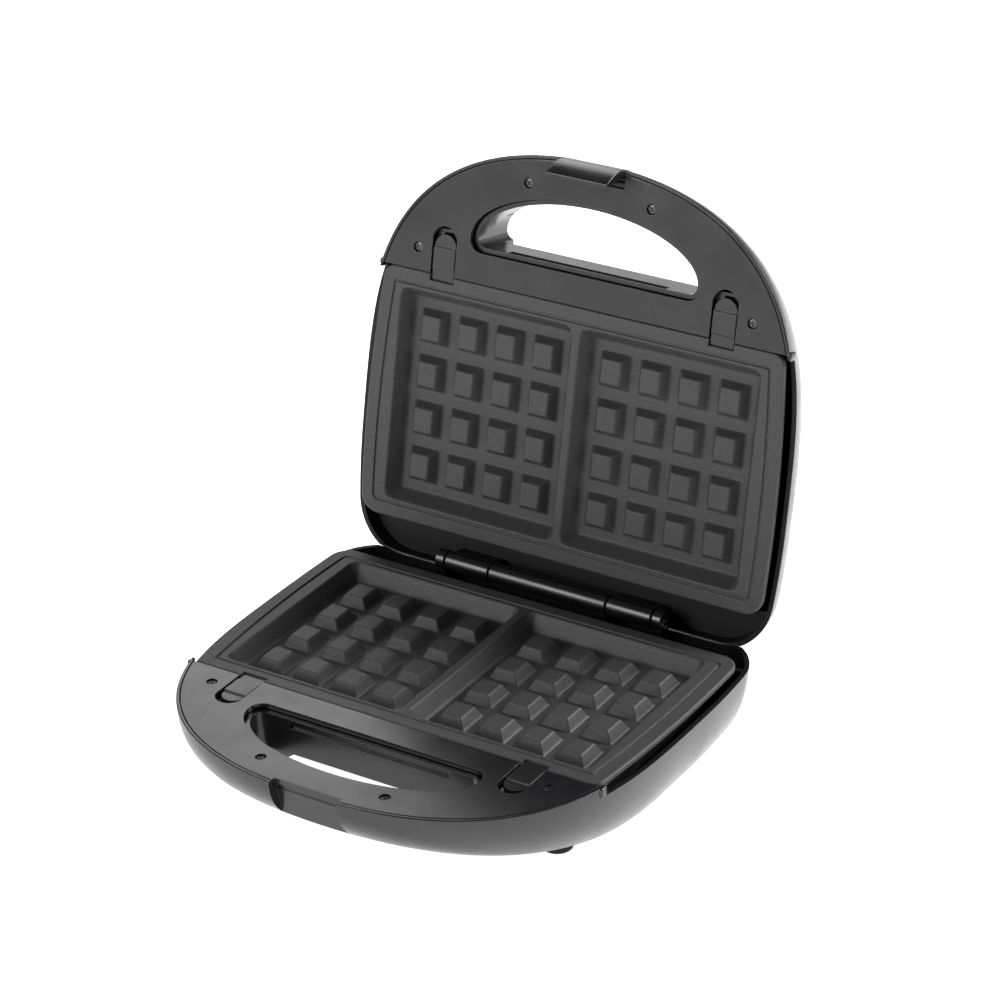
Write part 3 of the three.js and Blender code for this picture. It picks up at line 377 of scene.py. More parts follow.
def arc(cx: float, cv: float, radius: float, start: float, end: float, steps: int) -> list[Point]:
    """Gives points on a round stretch, both ends included."""
    turns = [start + (end - start) * i / steps for i in range(steps + 1)]
    return [(cx + radius * math.cos(t), cv + radius * math.sin(t)) for t in turns]


def bowed_corner(
    half_width: float, widest: float, side: float, corner: float, edge: float, steps: int
) -> list[Point]:
    """Gives a bowed side and a round corner tangent to it and to a straight edge.

    Args:
        half_width: Half the width at the widest place.
        widest: The widest place's v.
        side: The side's radius.
        corner: The corner's radius.
        edge: The straight edge's v.
        steps: Steps round the corner.

    Returns:
        Points from the widest place to the corner's end.
    """
    sign = math.copysign(1, edge - widest)
    corner_v = edge - sign * corner
    lean = math.asin(abs(corner_v - widest) / (side - corner))
    centre = half_width - side
    flank = arc(centre, widest, side, 0, sign * lean, 12)
    corner_x = centre + (side - corner) * math.cos(lean)
    bend = arc(corner_x, corner_v, corner, sign * lean, sign * math.pi / 2, steps)
    return flank + bend[1:]


def whole(half: Sequence[Point]) -> list[Point]:
    """Mirrors half an outline, given from its front point to its rear point."""
    return list(half) + [(-x, v) for x, v in reversed(half[1:-1])]


def inset(half: Sequence[Point], distance: float) -> list[Point]:
    """Moves half an outline inward along its own normals; a negative distance moves it out."""
    moved = []
    last = len(half) - 1
    for i, (x, v) in enumerate(half):
        (ax, av), (bx, bv) = half[max(i - 1, 0)], half[min(i + 1, last)]
        if i in (0, last):
            moved.append((0.0, v - distance if i == 0 else v + distance))
            continue
        length = math.hypot(bx - ax, bv - av)
        moved.append((x + (bv - av) / length * distance, v - (bx - ax) / length * distance))
    return moved


def ring(half: Sequence[Point], n: float) -> np.ndarray:
    """Sets a whole outline at height n."""
    return np.array([(x, v, n) for x, v in whole(half)])


# ---------------------------------------------------------------- shared sizes, in millimetres


@dataclass(frozen=True)
class PlateOutline:
    """The cooking plate's plan."""

    depth: float = 127.3
    half_width: float = 114.4
    side_radius: float = 764.0
    widest: float = 45.0
    front_corner: float = 6.0
    rear_corner: float = 10.0
    least_corner: float = 0.8

    def half(self, distance: float) -> list[Point]:
        """Half of the outline, moved inward by a distance."""
        def bowed(corner: float, edge: float) -> list[Point]:
            """One end's side and corner."""
            round_corner = max(corner - distance, self.least_corner)
            return bowed_corner(self.half_width - distance, self.widest, self.side_radius - distance,
                                round_corner, edge, 10)

        front = bowed(self.front_corner, self.depth - distance)
        rear = bowed(self.rear_corner, distance)
        return [(0.0, self.depth - distance)] + front[::-1] + rear[1:] + [(0.0, distance)]


@dataclass(frozen=True)
class ShellOutline:
    """The moulded shell's plan on the mating plane."""

    half_width: float = 119.3
    widest: float = 45.0
    tip: float = 197.7
    exponent_v: float = 3.5
    exponent_x: float = 2.25
    rear: float = 22.8
    rear_corner: float = 31.0
    side_radius: float = 434.0
    steps: int = 110

    def half(self) -> list[Point]:
        """Half of the outline, from the handle's tip to the rear."""
        points = []
        for i in range(self.steps):
            angle = math.pi / 2 * (1 - i / self.steps) ** 1.25
            across = self.half_width * math.cos(angle) ** (2 / self.exponent_x)
            along = math.sin(angle) ** (2 / self.exponent_v)
            points.append((across, self.widest + (self.tip - self.widest) * along))
        points[0] = (0.0, self.tip)
        rear = bowed_corner(self.half_width, self.widest, self.side_radius, self.rear_corner, -self.rear, 24)
        return points + rear + [(0.0, -self.rear)]

    def across(self, v: float) -> float:
        """Half the width at a station in front of the widest place."""
        share = (v - self.widest) / (self.tip - self.widest)
        return self.half_width * (1 - share ** self.exponent_v) ** (1 / self.exponent_x)


@dataclass(frozen=True)
class HandHole:
    """The hole through the handle, outside its tube's wall."""

    half_width: float = 62.6
    start: float = 15.4
    shoulder: float = 22.0
    reach: float = 27.6
    corner: float = 6.6
    wall: float = 2.3

    def half(self, plate_depth: float) -> list[Point]:
        """Half of the outline."""
        points = []
        for i in range(49):
            angle = math.pi / 2 * (1 - i / 48)
            along = plate_depth + self.shoulder + self.reach * math.sin(angle)
            points.append((self.half_width * math.cos(angle), along))
        points[0] = (0.0, points[0][1])
        shoulder_v = plate_depth + self.shoulder
        bend = arc(self.half_width - self.corner, shoulder_v, self.corner, 0, -math.pi / 2, 12)
        return points + bend[1:] + [(0.0, plate_depth + self.start)]


@dataclass(frozen=True)
class ClipPlace:
    """Where the release clips lie."""

    x: float = 77.2
    width: float = 12.4
    end: float = 20.3
    travel: float = 3.6
    gap: float = 0.7
    setback: float = 0.4
    thick: float = 3.0

    def path(self, side: int, clearance: float, start: float, end: float) -> list[Point]:
        """A slot with one round end.

        Args:
            side: -1 or 1.
            clearance: Room on each side of the clip.
            start: The open end's v.
            end: The v of the clip's own round end there.

        Returns:
            The outline.
        """
        radius = self.width / 2 + clearance
        centre = side * self.x
        tip = arc(centre, end - self.width / 2, radius, 0, math.pi, 24)
        return [(centre - radius, start), (centre + radius, start)] + tip


@dataclass(frozen=True)
class ScrewPlaces:
    """Where the four cover screws sit."""

    inner: Point = (33.5, 54.2)
    outer: Point = (92.0, 11.6)
    recess: float = 0.5
    head_radius: float = 2.3
    head_thick: float = 1.2
    head_gap: float = 0.3
    bore: float = 1.4
    bore_depth: float = 11.0

    def all(self, plate_depth: float) -> list[Point]:
        """The four places, in the CAD nodes' order."""
        return [(side * x, plate_depth + v) for side in SIDES for x, v in (self.outer, self.inner)]


PLATE = PlateOutline()
SHELL = ShellOutline()
HOLE = HandHole()
CLIPS = ClipPlace()
SCREWS = ScrewPlaces()


@dataclass(frozen=True)
class PocketSizes:
    """The latch's pockets in the ends of both handles."""

    half_width: float = 18.2
    ledge: float = 65.4
    slope: float = 0.234
    depth: float = 14.2
    catch_height: float = 3.0
    catch_depth: float = 1.9
    lid_back: float = 60.8
    wall: float = 5.2

    def back(self, half: Half, cover: float, handle_end: float) -> list[Point]:
        """The back of a half's pocket as (v, n), from top to bottom.

        Args:
            half: Which half.
            cover: How thick the handle cover and its gap are.
            handle_end: The handle's depth at its tip.

        Returns:
            The points.
        """
        if half is Half.LID:
            back = PLATE.depth + self.lid_back
            return [(back, FAR), (back, -self.depth)]

        def at(n: float) -> float:
            """The sloping back's v at n."""
            return PLATE.depth + self.ledge + self.slope * n

        groove = at(0) - self.catch_depth
        return [(at(0), FAR), (at(0), -cover), (groove, -cover), (groove, -cover - self.catch_height),
                (at(-cover - self.catch_height), -cover - self.catch_height), (at(-handle_end), -handle_end)]


POCKET = PocketSizes()


# ---------------------------------------------------------------- finishes


def linear(colour: str, alpha: float = 1.0) -> tuple[float, float, float, float]:
    """Turns an sRGB hex colour into linear light."""
    parts = [int(colour[i:i + 2], 16) / 255 for i in (1, 3, 5)]
    red, green, blue = (p / 12.92 if p <= 0.04045 else ((p + 0.055) / 1.055) ** 2.4 for p in parts)
    return (red, green, blue, alpha)


def add(
    tree: bpy.types.NodeTree, kind: str, settings: dict | None = None, inputs: dict | None = None
) -> bpy.types.Node:
    """Adds a node with its settings and its links.

    Args:
        tree: The material's tree.
        kind: The node's type.
        settings: Values of the node's own properties.
        inputs: Values or sockets for its inputs, by name or number.

    Returns:
        The node.
    """
    node = tree.nodes.new(kind)
    for name, value in (settings or {}).items():
        setattr(node, name, value)
    for name, value in (inputs or {}).items():
        if isinstance(value, Socket):
            tree.links.new(value, node.inputs[name])
        else:
            node.inputs[name].default_value = value
    return node


def per_metre(size_mm: float) -> float:
    """The noise scale that gives features of a size in millimetres."""
    return 1 / (size_mm * MM)


@dataclass(frozen=True)
class Finish:
    """A material: what it is made of and how its surface was made."""

    name: str
    colour: str
    roughness: float
    second: str = ""
    metallic: float = 0.0
    ior: float = 1.5
    edge_mm: float = 0.35
    grain_mm: float = 0.5
    grain_depth: float = 0.03
    blotch_mm: float = 22.0
    blotch: float = 0.05

    def material(self) -> bpy.types.Material:
        """Builds the node material once and keeps it.

        Returns:
            The material.
        """
        known = bpy.data.materials.get(self.name)
        if known:
            return known
        made = bpy.data.materials.new(self.name)
        made.use_nodes = True
        tree = made.node_tree
        shader = tree.nodes["Principled BSDF"]
        shader.inputs["Metallic"].default_value = self.metallic
        shader.inputs["IOR"].default_value = self.ior
        place = add(tree, "ShaderNodeTexCoord").outputs["Object"]
        self.paint(tree, shader, place)
        return made

    def paint(self, tree: bpy.types.NodeTree, shader: bpy.types.Node, place: Socket) -> None:
        """Adds the finish's nodes: colour drift, uneven sheen, fine grain and softened edges.

        Args:
            tree: The material's tree.
            shader: Its shader.
            place: Object coordinates, in metres.
        """
        blotches = add(tree, "ShaderNodeTexNoise", inputs={
            "Vector": place, "Scale": per_metre(self.blotch_mm),
            "Detail": 3.0, "Roughness": 0.6}).outputs["Fac"]
        colours = add(tree, "ShaderNodeMix", {"data_type": "RGBA"}, {
            0: blotches, 6: linear(self.colour), 7: linear(self.second or self.colour)}).outputs[2]
        tree.links.new(colours, shader.inputs["Base Color"])
        sheen = add(tree, "ShaderNodeMapRange", inputs={
            0: blotches, 1: 0.3, 2: 0.7,
            3: self.roughness - self.blotch, 4: self.roughness + self.blotch}).outputs[0]
        tree.links.new(sheen, shader.inputs["Roughness"])
        grain = add(tree, "ShaderNodeTexNoise", inputs={
            "Vector": place, "Scale": per_metre(self.grain_mm), "Detail": 2.0}).outputs["Fac"]
        tree.links.new(self.bumped(tree, grain), shader.inputs["Normal"])

    def bumped(self, tree: bpy.types.NodeTree, height: Socket) -> Socket:
        """Lays a height over edges softened to the finish's radius.

        Args:
            tree: The material's tree.
            height: The height pattern, 0 to 1.

        Returns:
            The normal.
        """
        edges = add(tree, "ShaderNodeBevel", {"samples": 6}, {"Radius": self.edge_mm * MM}).outputs[0]
        return add(tree, "ShaderNodeBump", inputs={
            "Height": height, "Strength": 1.0, "Distance": self.grain_depth * MM, "Normal": edges}).outputs[0]


@dataclass(frozen=True)
class SprayedNonStick(Finish):
    """PTFE sprayed on cast aluminium and baked: a dark film with pale specks and an orange-peel skin."""

    speck: str = "#6a6a6b"
    speck_mm: float = 1.1

    def paint(self, tree: bpy.types.NodeTree, shader: bpy.types.Node, place: Socket) -> None:
        """Adds specks over the mottled film and a peel of about half a millimetre.

        Args:
            tree: The material's tree.
            shader: Its shader.
            place: Object coordinates, in metres.
        """
        mottle = add(tree, "ShaderNodeTexNoise", inputs={
            "Vector": place, "Scale": per_metre(self.grain_mm),
            "Detail": 4.0, "Roughness": 0.7}).outputs["Fac"]
        film = add(tree, "ShaderNodeMix", {"data_type": "RGBA"}, {
            0: mottle, 6: linear(self.colour), 7: linear(self.second)}).outputs[2]
        cells = add(tree, "ShaderNodeTexVoronoi", inputs={
            "Vector": place, "Scale": per_metre(self.speck_mm), "Randomness": 1.0}).outputs["Distance"]
        dots = add(tree, "ShaderNodeMapRange", inputs={
            0: cells, 1: 0.14, 2: 0.26, 3: 0.55, 4: 0.0}).outputs[0]
        colours = add(tree, "ShaderNodeMix", {"data_type": "RGBA"}, {0: dots, 6: film, 7: linear(self.speck)})
        tree.links.new(colours.outputs[2], shader.inputs["Base Color"])
        sheen = add(tree, "ShaderNodeMapRange", inputs={
            0: mottle, 1: 0.3, 2: 0.7,
            3: self.roughness - self.blotch, 4: self.roughness + self.blotch}).outputs[0]
        tree.links.new(sheen, shader.inputs["Roughness"])
        tree.links.new(self.bumped(tree, mottle), shader.inputs["Normal"])


@dataclass(frozen=True)
class BrushedMetal(Finish):
    """Drawn or pressed metal with fine lines along x, left by the die."""

    stretch: float = 40.0

    def paint(self, tree: bpy.types.NodeTree, shader: bpy.types.Node, place: Socket) -> None:
        """Adds long thin lines to the colour, the sheen and the relief.

        Args:
            tree: The material's tree.
            shader: Its shader.
            place: Object coordinates, in metres.
        """
        lines = add(tree, "ShaderNodeMapping", inputs={
            "Vector": place, "Scale": (1 / self.stretch, 1, 1)}).outputs[0]
        grain = add(tree, "ShaderNodeTexNoise", inputs={
            "Vector": lines, "Scale": per_metre(self.grain_mm), "Detail": 3.0}).outputs["Fac"]
        colours = add(tree, "ShaderNodeMix", {"data_type": "RGBA"}, {
            0: grain, 6: linear(self.colour), 7: linear(self.second or self.colour)}).outputs[2]
        tree.links.new(colours, shader.inputs["Base Color"])
        sheen = add(tree, "ShaderNodeMapRange", inputs={
            0: grain, 1: 0.3, 2: 0.7,
            3: self.roughness - self.blotch, 4: self.roughness + self.blotch}).outputs[0]
        tree.links.new(sheen, shader.inputs["Roughness"])
        tree.links.new(self.bumped(tree, grain), shader.inputs["Normal"])


# ABS moulded in a polished steel tool: deep black, and a smooth sheen that spreads the studio's light
MOULDED_ABS = Finish("abs_moulded_polished_tool", "#101012", 0.27, "#141416", ior=1.54,
                     grain_mm=0.9, grain_depth=0.004)
# ABS moulded in a finely spark-eroded tool: charcoal, with an even satin; the grain is drawn coarse
TEXTURED_ABS = Finish("abs_moulded_fine_texture", "#111113", 0.25, "#161618", ior=1.52,
                      grain_mm=0.45, grain_depth=0.012)
# Glass-filled nylon moulded thin: slightly glossier and harder edged than the cover around it
CLIP_NYLON = Finish("nylon_moulded_glass_filled", "#121214", 0.31, "#18181a", ior=1.53, edge_mm=0.3,
                    grain_mm=0.6, grain_depth=0.01)
# The same ABS in a darker colour and with a duller sheen, put on the faces inside the halves: painted shade
# for the rim gap, trough and hollows under the plate
SHADE_PAINTED_ABS = Finish("abs_painted_shade_inside", "#040405", 0.55, "#060607", ior=1.35, grain_mm=0.8)
NON_STICK = SprayedNonStick("ptfe_sprayed_on_cast_aluminium", "#353536", 0.5, "#474748", ior=1.38,
                            edge_mm=0.4, grain_mm=0.5, grain_depth=0.05, blotch=0.07)
# Steel blackened in hot oxide: nearly black, with a metal's narrow glints
BLACK_OXIDE = Finish("steel_black_oxide", "#4a4a4e", 0.34, "#5a5a5e", metallic=0.85, edge_mm=0.12,
                     grain_mm=0.3, grain_depth=0.01)
# Bright drawn steel of pins and springs
DRAWN_STEEL = BrushedMetal("steel_bright_drawn", "#9c9da1", 0.25, "#b4b5b8", metallic=1.0, edge_mm=0.1,
                           grain_mm=0.3, grain_depth=0.01)
# Steel tube of the heater, straw-brown where heat has coloured it
HEATED_STEEL = BrushedMetal("steel_heat_tinted_tube", "#7d7468", 0.38, "#8f8676", metallic=1.0, edge_mm=0.2,
                            grain_mm=0.4, grain_depth=0.01)
# Aluminised sheet, pressed: bright and faintly lined
PRESSED_SHEET = BrushedMetal("steel_aluminised_pressed_sheet", "#b9bbbd", 0.33, "#c8cacc", metallic=1.0,
                             grain_mm=0.5, grain_depth=0.008)
# Rubber moulded with a matt skin
MOULDED_RUBBER = Finish("rubber_moulded_matt", "#0c0c0c", 0.8, "#131313", ior=1.5, edge_mm=0.4,
                        grain_mm=0.8, grain_depth=0.03)
# Steatite, pressed and fired: chalky off-white
FIRED_STEATITE = Finish("steatite_pressed_fired", "#cfc8b8", 0.7, "#d9d3c5", edge_mm=0.3, grain_mm=0.6)
# Polycarbonate lenses, moulded in colour
RED_LENS = Finish("polycarbonate_moulded_red", "#a31212", 0.12, "#c01c18", ior=1.58,
                  edge_mm=0.3, grain_depth=0.002)
GREEN_LENS = Finish("polycarbonate_moulded_green", "#157a2c", 0.12, "#1c9638", ior=1.58, edge_mm=0.3,
                    grain_depth=0.002)


# ---------------------------------------------------------------- placing pieces


def piece(name: str, solid: Solid, half: Half, body: str, slot: str, finish: Finish,
          stands_for: Sequence[str] = ()) -> bpy.types.Object:
    """Turns a solid into a finished piece that rides on its body.

    Args:
        name: The piece's name.
        solid: Its shape in the half's millimetres.
        half: The half it is drawn in.
        body: The CAD body that it moves with.
        slot: The record's material slot; not used.
        finish: Its material.
        stands_for: CAD nodes that it replaces; its own name's node when left out.

    Returns:
        The object.
    """
    mesh = solid.mesh.copy()
    mesh.name = name
    mesh.transform(PLACES.placement(half))
    mesh.materials.clear()
    mesh.materials.append(finish.material())
    mesh.shade_smooth()
    mesh.set_sharp_from_angle(angle=SHARP_ANGLE)
    made = bpy.data.objects.new(name + ".look", mesh)
    bpy.context.scene.collection.objects.link(made)
    even = made.modifiers.new("even_normals", "WEIGHTED_NORMAL")
    even.keep_sharp = True
    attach(made, body)
    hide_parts(*(stands_for or (name,)))
    LOG.info("%s: %d faces, on %s", made.name, len(mesh.polygons), body)
    return made


def bevelled(solid: Solid, width: float, segments: int = 3, angle: float = 35.0) -> Solid:
    """Rounds a solid's edges in its mesh.

    Args:
        solid: The solid, in millimetres.
        width: The round's width.
        segments: Steps round it.
        angle: Edges sharper than this many degrees are rounded.

    Returns:
        The rounded solid.
    """
    shape = bmesh.new()
    shape.from_mesh(solid.mesh)
    bmesh.ops.dissolve_limit(shape, angle_limit=math.radians(0.5), verts=shape.verts, edges=shape.edges)
    edges = [e for e in shape.edges if e.is_manifold and e.calc_face_angle(0.0) > math.radians(angle)]
    bmesh.ops.bevel(shape, geom=edges, offset=width, offset_type="OFFSET", segments=segments, profile=0.5,
                    affect="EDGES", clamp_overlap=True)
    mesh = bpy.data.meshes.new("solid")
    shape.to_mesh(mesh)
    shape.free()
    return Solid(mesh)


# ---------------------------------------------------------------- the moulded halves


@dataclass
class Shell:
    """One moulded half: skin, hand-hole tube, hinge barrels, rim, trough, catch pocket and clip shelves."""

    half: Half
    depth: float
    curl: float
    wall: float = 2.4
    handle_end: float = 22.0
    taper_start: float = 96.0
    taper_blend: float = 26.0
    exponent: float = 2.1
    profile_steps: int = 30
    rim_drop: float = 4.8
    cover_seat: float = 2.9
    cover_rim: float = 1.6
    bulkhead: float = 20.0
    trough: float = 12.0
    trough_floor: float = 2.0
    trough_front: float = 2.5
    relief_angle: float = 53.0
    barrel_radius: float = 5.0
    bracket: float = 7.0
    pin_bore: float = 2.2
    middle_half: float = 33.0
    barrel_gap: float = 0.7
    lid_barrel: float = 24.6
    ear: float = 5.0
    lug_proud: float = 0.8
    lug_length: float = 4.0
    lug_width: float = 3.0
    lug_height: float = 5.0
    slot: tuple[float, float, float, float] = (87.0, 4.5, 3.2, 1.3)
    recess_top: float = 21.5
    foot: tuple[float, float] = (7.5, 1.4)
    foot_places: tuple[Point, ...] = ()
    recess_front: float = 14.0
    recess_rear: float = 5.0
    recess_margin: float = 6.0
    trough_top: float = 3.5
    pocket_lead: float = 2.2
    boss_radius: float = 3.6
    pin_start: float = 18.7
    latch_bore: tuple[float, float] = (1.3, 21.5)
    latch_pivot: Point = (64.4, -7.2)
    clip_floor: float = 3.7
    shelf_end: float = 22.5
    shelf_bottom: float = 9.95
    shelf_margin: float = 1.6
    channel_half: float = 2.55
    channel_start: float = 5.4
    channel_end: float = 20.9
    channel_bottom: float = 8.35
    foot_gap: float = 0.3
    skin_reach: float = 0.9
    crown_share: float = 0.96
    gland: tuple[float, float, float] = (62.0, 29.0, 5.3)
    lamp: tuple[float, float, float] = (13.0, 84.0, 4.3)
    plan: list[Point] = field(default_factory=SHELL.half)

    def depth_at(self, v: float) -> float:
        """How deep the shell is at v, easing into the handle's taper."""
        run = v - self.taper_start
        blend = max(self.taper_blend - abs(run), 0) / self.taper_blend
        run = max(run, 0.0) + blend * blend * self.taper_blend / 4
        return self.depth - (self.depth - self.handle_end) * min(run / (SHELL.tip - self.taper_start), 1.0)

    def body(self, wall: float) -> Solid:
        """The space inside a skin of some thickness; 0 gives the outside.

        Args:
            wall: The skin's thickness.

        Returns:
            The solid.
        """
        rings = []
        if wall > 0:
            rings.append(ring(inset(self.plan, wall), wall))
        else:
            for drop, inward in ((0.0, 0.55), (0.07, 0.3), (0.25, 0.1)):
                rings.append(ring(inset(self.plan, inward), -drop))
        for i in range(0 if wall > 0 else 1, self.profile_steps + 1):
            share = math.sin(math.pi / 2 * i / self.profile_steps)
            outline = whole(inset(self.plan, self.inward(share) + wall))
            rings.append(np.array([(x, v, -(self.depth_at(v) - wall) * share) for x, v in outline]))
        return loft(rings)

    def tube(self) -> tuple[Solid, Solid]:
        """The hand hole's wall and the hole inside it."""
        plan = HOLE.half(PLATE.depth)
        bore = prism_n(whole(inset(plan, HOLE.wall)), -FAR, FAR)
        return prism_n(whole(plan), -FAR, 0).cut(bore), bore

    def frames(self, outer: Solid) -> list[Solid]:
        """Walls inside the shell: bulkheads, the trough's floor and the pocket's wall.

        Args:
            outer: The shell's outside, which trims them.

        Returns:
            The walls.
        """
        front = PLATE.depth + 1
        pocket_wall = POCKET.half_width + POCKET.wall
        backs = POCKET.back(self.half, self.cover_seat, self.handle_end)
        walls = [
            block(-FAR, FAR, front, front + self.wall, -self.bulkhead, -self.cover_seat),
            block(-FAR, FAR, self.trough_front - self.trough_floor, self.trough_front,
                  -self.bulkhead, -self.trough_top),
            block(-FAR, FAR, -FAR, self.trough_front, -self.trough - self.trough_floor, -self.trough),
            block(-pocket_wall, pocket_wall, min(v for v, _ in backs) - self.pocket_lead, FAR,
                  -FAR, -self.cover_seat),
        ]
        return [wall.within(outer) for wall in walls]

    def shelves(self) -> list[Solid]:
        """The two shelves that the release clips slide on."""
        made = []
        half = CLIPS.width / 2 + CLIPS.gap + self.shelf_margin
        for side in SIDES:
            x = side * CLIPS.x
            shelf = block(x - half, x + half, PLATE.depth + 1, PLATE.depth + self.shelf_end,
                          -self.shelf_bottom, -self.clip_floor)
            channel = block(x - self.channel_half, x + self.channel_half, PLATE.depth + self.channel_start,
                            PLATE.depth + self.channel_end, -self.channel_bottom, FAR)
            made.append(shelf.cut(channel))
        return made

    def rims(self) -> tuple[Solid, list[Solid]]:
        """The lowered side rims: what is cut from the skin, and the lugs where they start.

        Returns:
            The cut and the lugs.
        """
        start = PLATE.depth - self.lug_length / 2
        cut = block(-FAR, FAR, -FAR, start, -self.rim_drop, FAR)
        lugs = []
        edge = SHELL.across(PLATE.depth)
        for side in SIDES:
            low, high = sorted((side * (edge - self.cover_rim), side * (edge + self.lug_proud)))
            lug = block(low, high, start + self.lug_length - self.lug_width, start + self.lug_length,
                        -self.lug_height, 0)
            lugs.append(bevelled(lug, 0.9))
        return cut, lugs

    def barrels(self) -> list[tuple[float, float]]:
        """Where this half's hinge barrels start and end along x."""
        inner = self.middle_half + self.barrel_gap
        ear = inner + self.lid_barrel + self.barrel_gap
        if self.half is Half.LID:
            return [(-inner - self.lid_barrel, -inner), (inner, inner + self.lid_barrel)]
        return [(-self.middle_half, self.middle_half), (-ear - self.ear, -ear), (ear, ear + self.ear)]

    def hinge(self, body: Solid) -> Solid:
        """Adds barrels on brackets and bores them for the pins."""
        v, n = PLACES.hinge_v, PLACES.hinge_n
        for low, high in self.barrels():
            bracket = block(low, high, v - self.bracket / 2, v + self.bracket / 2, -self.trough - 1, n)
            body = body.join(bracket, rod(Axis.X, self.barrel_radius, low, high, v, n, 0.5))
        if self.half is Half.LID:
            return body.cut(rod(Axis.X, self.pin_bore, -FAR, FAR, v, n))
        spans = [sorted((side * self.pin_start, side * FAR)) for side in SIDES]
        return body.cut(*[rod(Axis.X, self.pin_bore, low, high, v, n) for low, high in spans])

    def openings(self) -> list[Solid]:
        """Holes that only this half has: feet and cord inlet, or lamps and the latch's pin."""
        if self.half is Half.LID:
            x, v, radius = self.lamp
            lamps = [rod(Axis.N, radius, -FAR, -self.depth + 8, side * x, v) for side in SIDES]
            (radius, reach), (along, drop) = self.latch_bore, self.latch_pivot
            pin = rod(Axis.X, radius, -reach, reach, PLATE.depth + along, drop)
            return lamps + [pin]
        x, drop, radius = self.gland
        return [rod(Axis.V, radius, -SHELL.rear - 13, -SHELL.rear + 15, x, -drop)]

    def build(self) -> Solid:
        """Builds the half.

        Returns:
            The solid.
        """
        outer = self.body(0)
        skin = outer.cut(self.body(self.wall))
        tube, bore = self.tube()
        bosses = [
            rod(Axis.N, self.boss_radius, -FAR, -self.cover_seat, x, v).within(outer)
            for x, v in SCREWS.all(PLATE.depth)
        ]
        rim_cut, lugs = self.rims()
        seat = prism_n(whole(inset(self.plan, self.cover_rim)), -self.cover_seat, FAR)
        seat = seat.within(block(-FAR, FAR, PLATE.depth - self.lug_length, FAR, -FAR, FAR))
        body = skin.join(tube.within(outer), *self.frames(outer), Solid.gather(bosses), *self.shelves())
        body = body.cut(rim_cut, seat).join(self.recess(self.wall).within(outer))
        body = body.cut(bore, self.recess(0.0)).join(*lugs)
        body = body.cut(self.relief(), self.pocket(), *self.openings())
        body = body.cut(*self.handle_cuts())
        return self.hinge(body)

    def relief(self) -> Solid:
        """Everything behind the hinge axis that the other half sweeps through."""
        v, n = PLACES.hinge_v, PLACES.hinge_n
        drop = FAR * math.tan(math.radians(self.relief_angle))
        return prism_x([(v, n), (v - FAR, n - drop), (v - FAR, FAR), (v, FAR)], -FAR, FAR)

    def pocket(self) -> Solid:
        """The latch's pocket in the end of the handle."""
        back = POCKET.back(self.half, self.cover_seat, self.handle_end)
        far_v = PLATE.depth + FAR
        section = back + [(far_v, back[-1][1]), (far_v, FAR)]
        return prism_x(section, -POCKET.half_width, POCKET.half_width)

    def recess(self, grow: float) -> Solid:
        """The hollow for the fingers under the rear of the hand hole.

        Args:
            grow: How far the hollow is widened, to make the skin around it.

        Returns:
            The solid.
        """
        start, top = PLATE.depth + HOLE.start + HOLE.wall, -self.recess_top
        run = self.depth
        front, rear = start + self.recess_front, start - self.recess_rear - grow
        section = [(front, -FAR), (front, top + grow), (rear, top + grow),
                   (rear - run, top + grow - run), (rear - run, -FAR)]
        width = HOLE.half_width - self.recess_margin + grow
        return prism_x(section, -width, width)

    def handle_cuts(self) -> list[Solid]:
        """The slot in the hand hole's wall, the clips' bays and the sockets of screws and feet."""
        width, height, top, depth = self.slot
        wall = PLATE.depth + HOLE.start + HOLE.wall
        cuts = [block(-width / 2, width / 2, wall - depth, wall + 1, -top - height, -top)]
        end = PLATE.depth + CLIPS.end + CLIPS.travel
        paths = [CLIPS.path(side, CLIPS.gap, PLATE.depth - 1, end) for side in SIDES]
        cuts += [prism_n(path, -self.clip_floor, FAR) for path in paths]
        cuts += [rod(Axis.N, SCREWS.bore, -SCREWS.bore_depth, FAR, x, v) for x, v in SCREWS.all(PLATE.depth)]
        radius, socket = self.foot
        for x, v in self.foot_places:
            cuts.append(rod(Axis.N, radius + self.foot_gap, -FAR, socket - self.depth_at(v + radius), x, v))
        return cuts

    def inward(self, share: np.ndarray | float) -> np.ndarray | float:
        """How far the side has curled in at a share of the depth."""
        return self.curl * (1 - (1 - share ** self.exponent) ** (1 / self.exponent))

    def painted_shade_faces(self, centres: np.ndarray) -> np.ndarray:
        """Tells which faces lie inside the half, which get the darker copy of the ABS as painted shade.

        Args:
            centres: The faces' centres in the half's millimetres.

        Returns:
            True for each face inside.
        """
        x, v, n = centres.T
        start = np.array(whole(self.plan))
        step = np.roll(start, -1, axis=0) - start
        share_along = np.clip(((centres[:, None, :2] - start) * step).sum(2) / (step ** 2).sum(1), 0, 1)
        nearest = start + share_along[:, :, None] * step
        distance = np.linalg.norm(centres[:, None, :2] - nearest, axis=2).min(1)
        deep = np.array([self.depth_at(station) for station in v])
        share = np.clip(-n / deep, 0, 1)
        skin = (np.abs(distance - self.inward(share)) < self.skin_reach) | (share > self.crown_share)
        barrel = np.hypot(v - PLACES.hinge_v, n - PLACES.hinge_n) < self.barrel_radius + 0.1
        return (v < PLATE.depth) & ~skin & ~barrel

    def dress(self) -> None:
        """Builds the half: polished ABS outside, and a darker, duller copy of it inside as painted shade."""
        body = self.half.value
        made = piece(f"{body}_housing", self.build(), self.half, body, "moulded_shell", MOULDED_ABS)
        # A second material: a darker copy of the ABS, painted shade on the faces inside the half.
        made.data.materials.append(SHADE_PAINTED_ABS.material())
        back = PLACES.placement(self.half).inverted()
        centres = np.array([back @ face.center for face in made.data.polygons])
        for face, inside in zip(made.data.polygons, self.painted_shade_faces(centres)):
            face.material_index = int(inside)


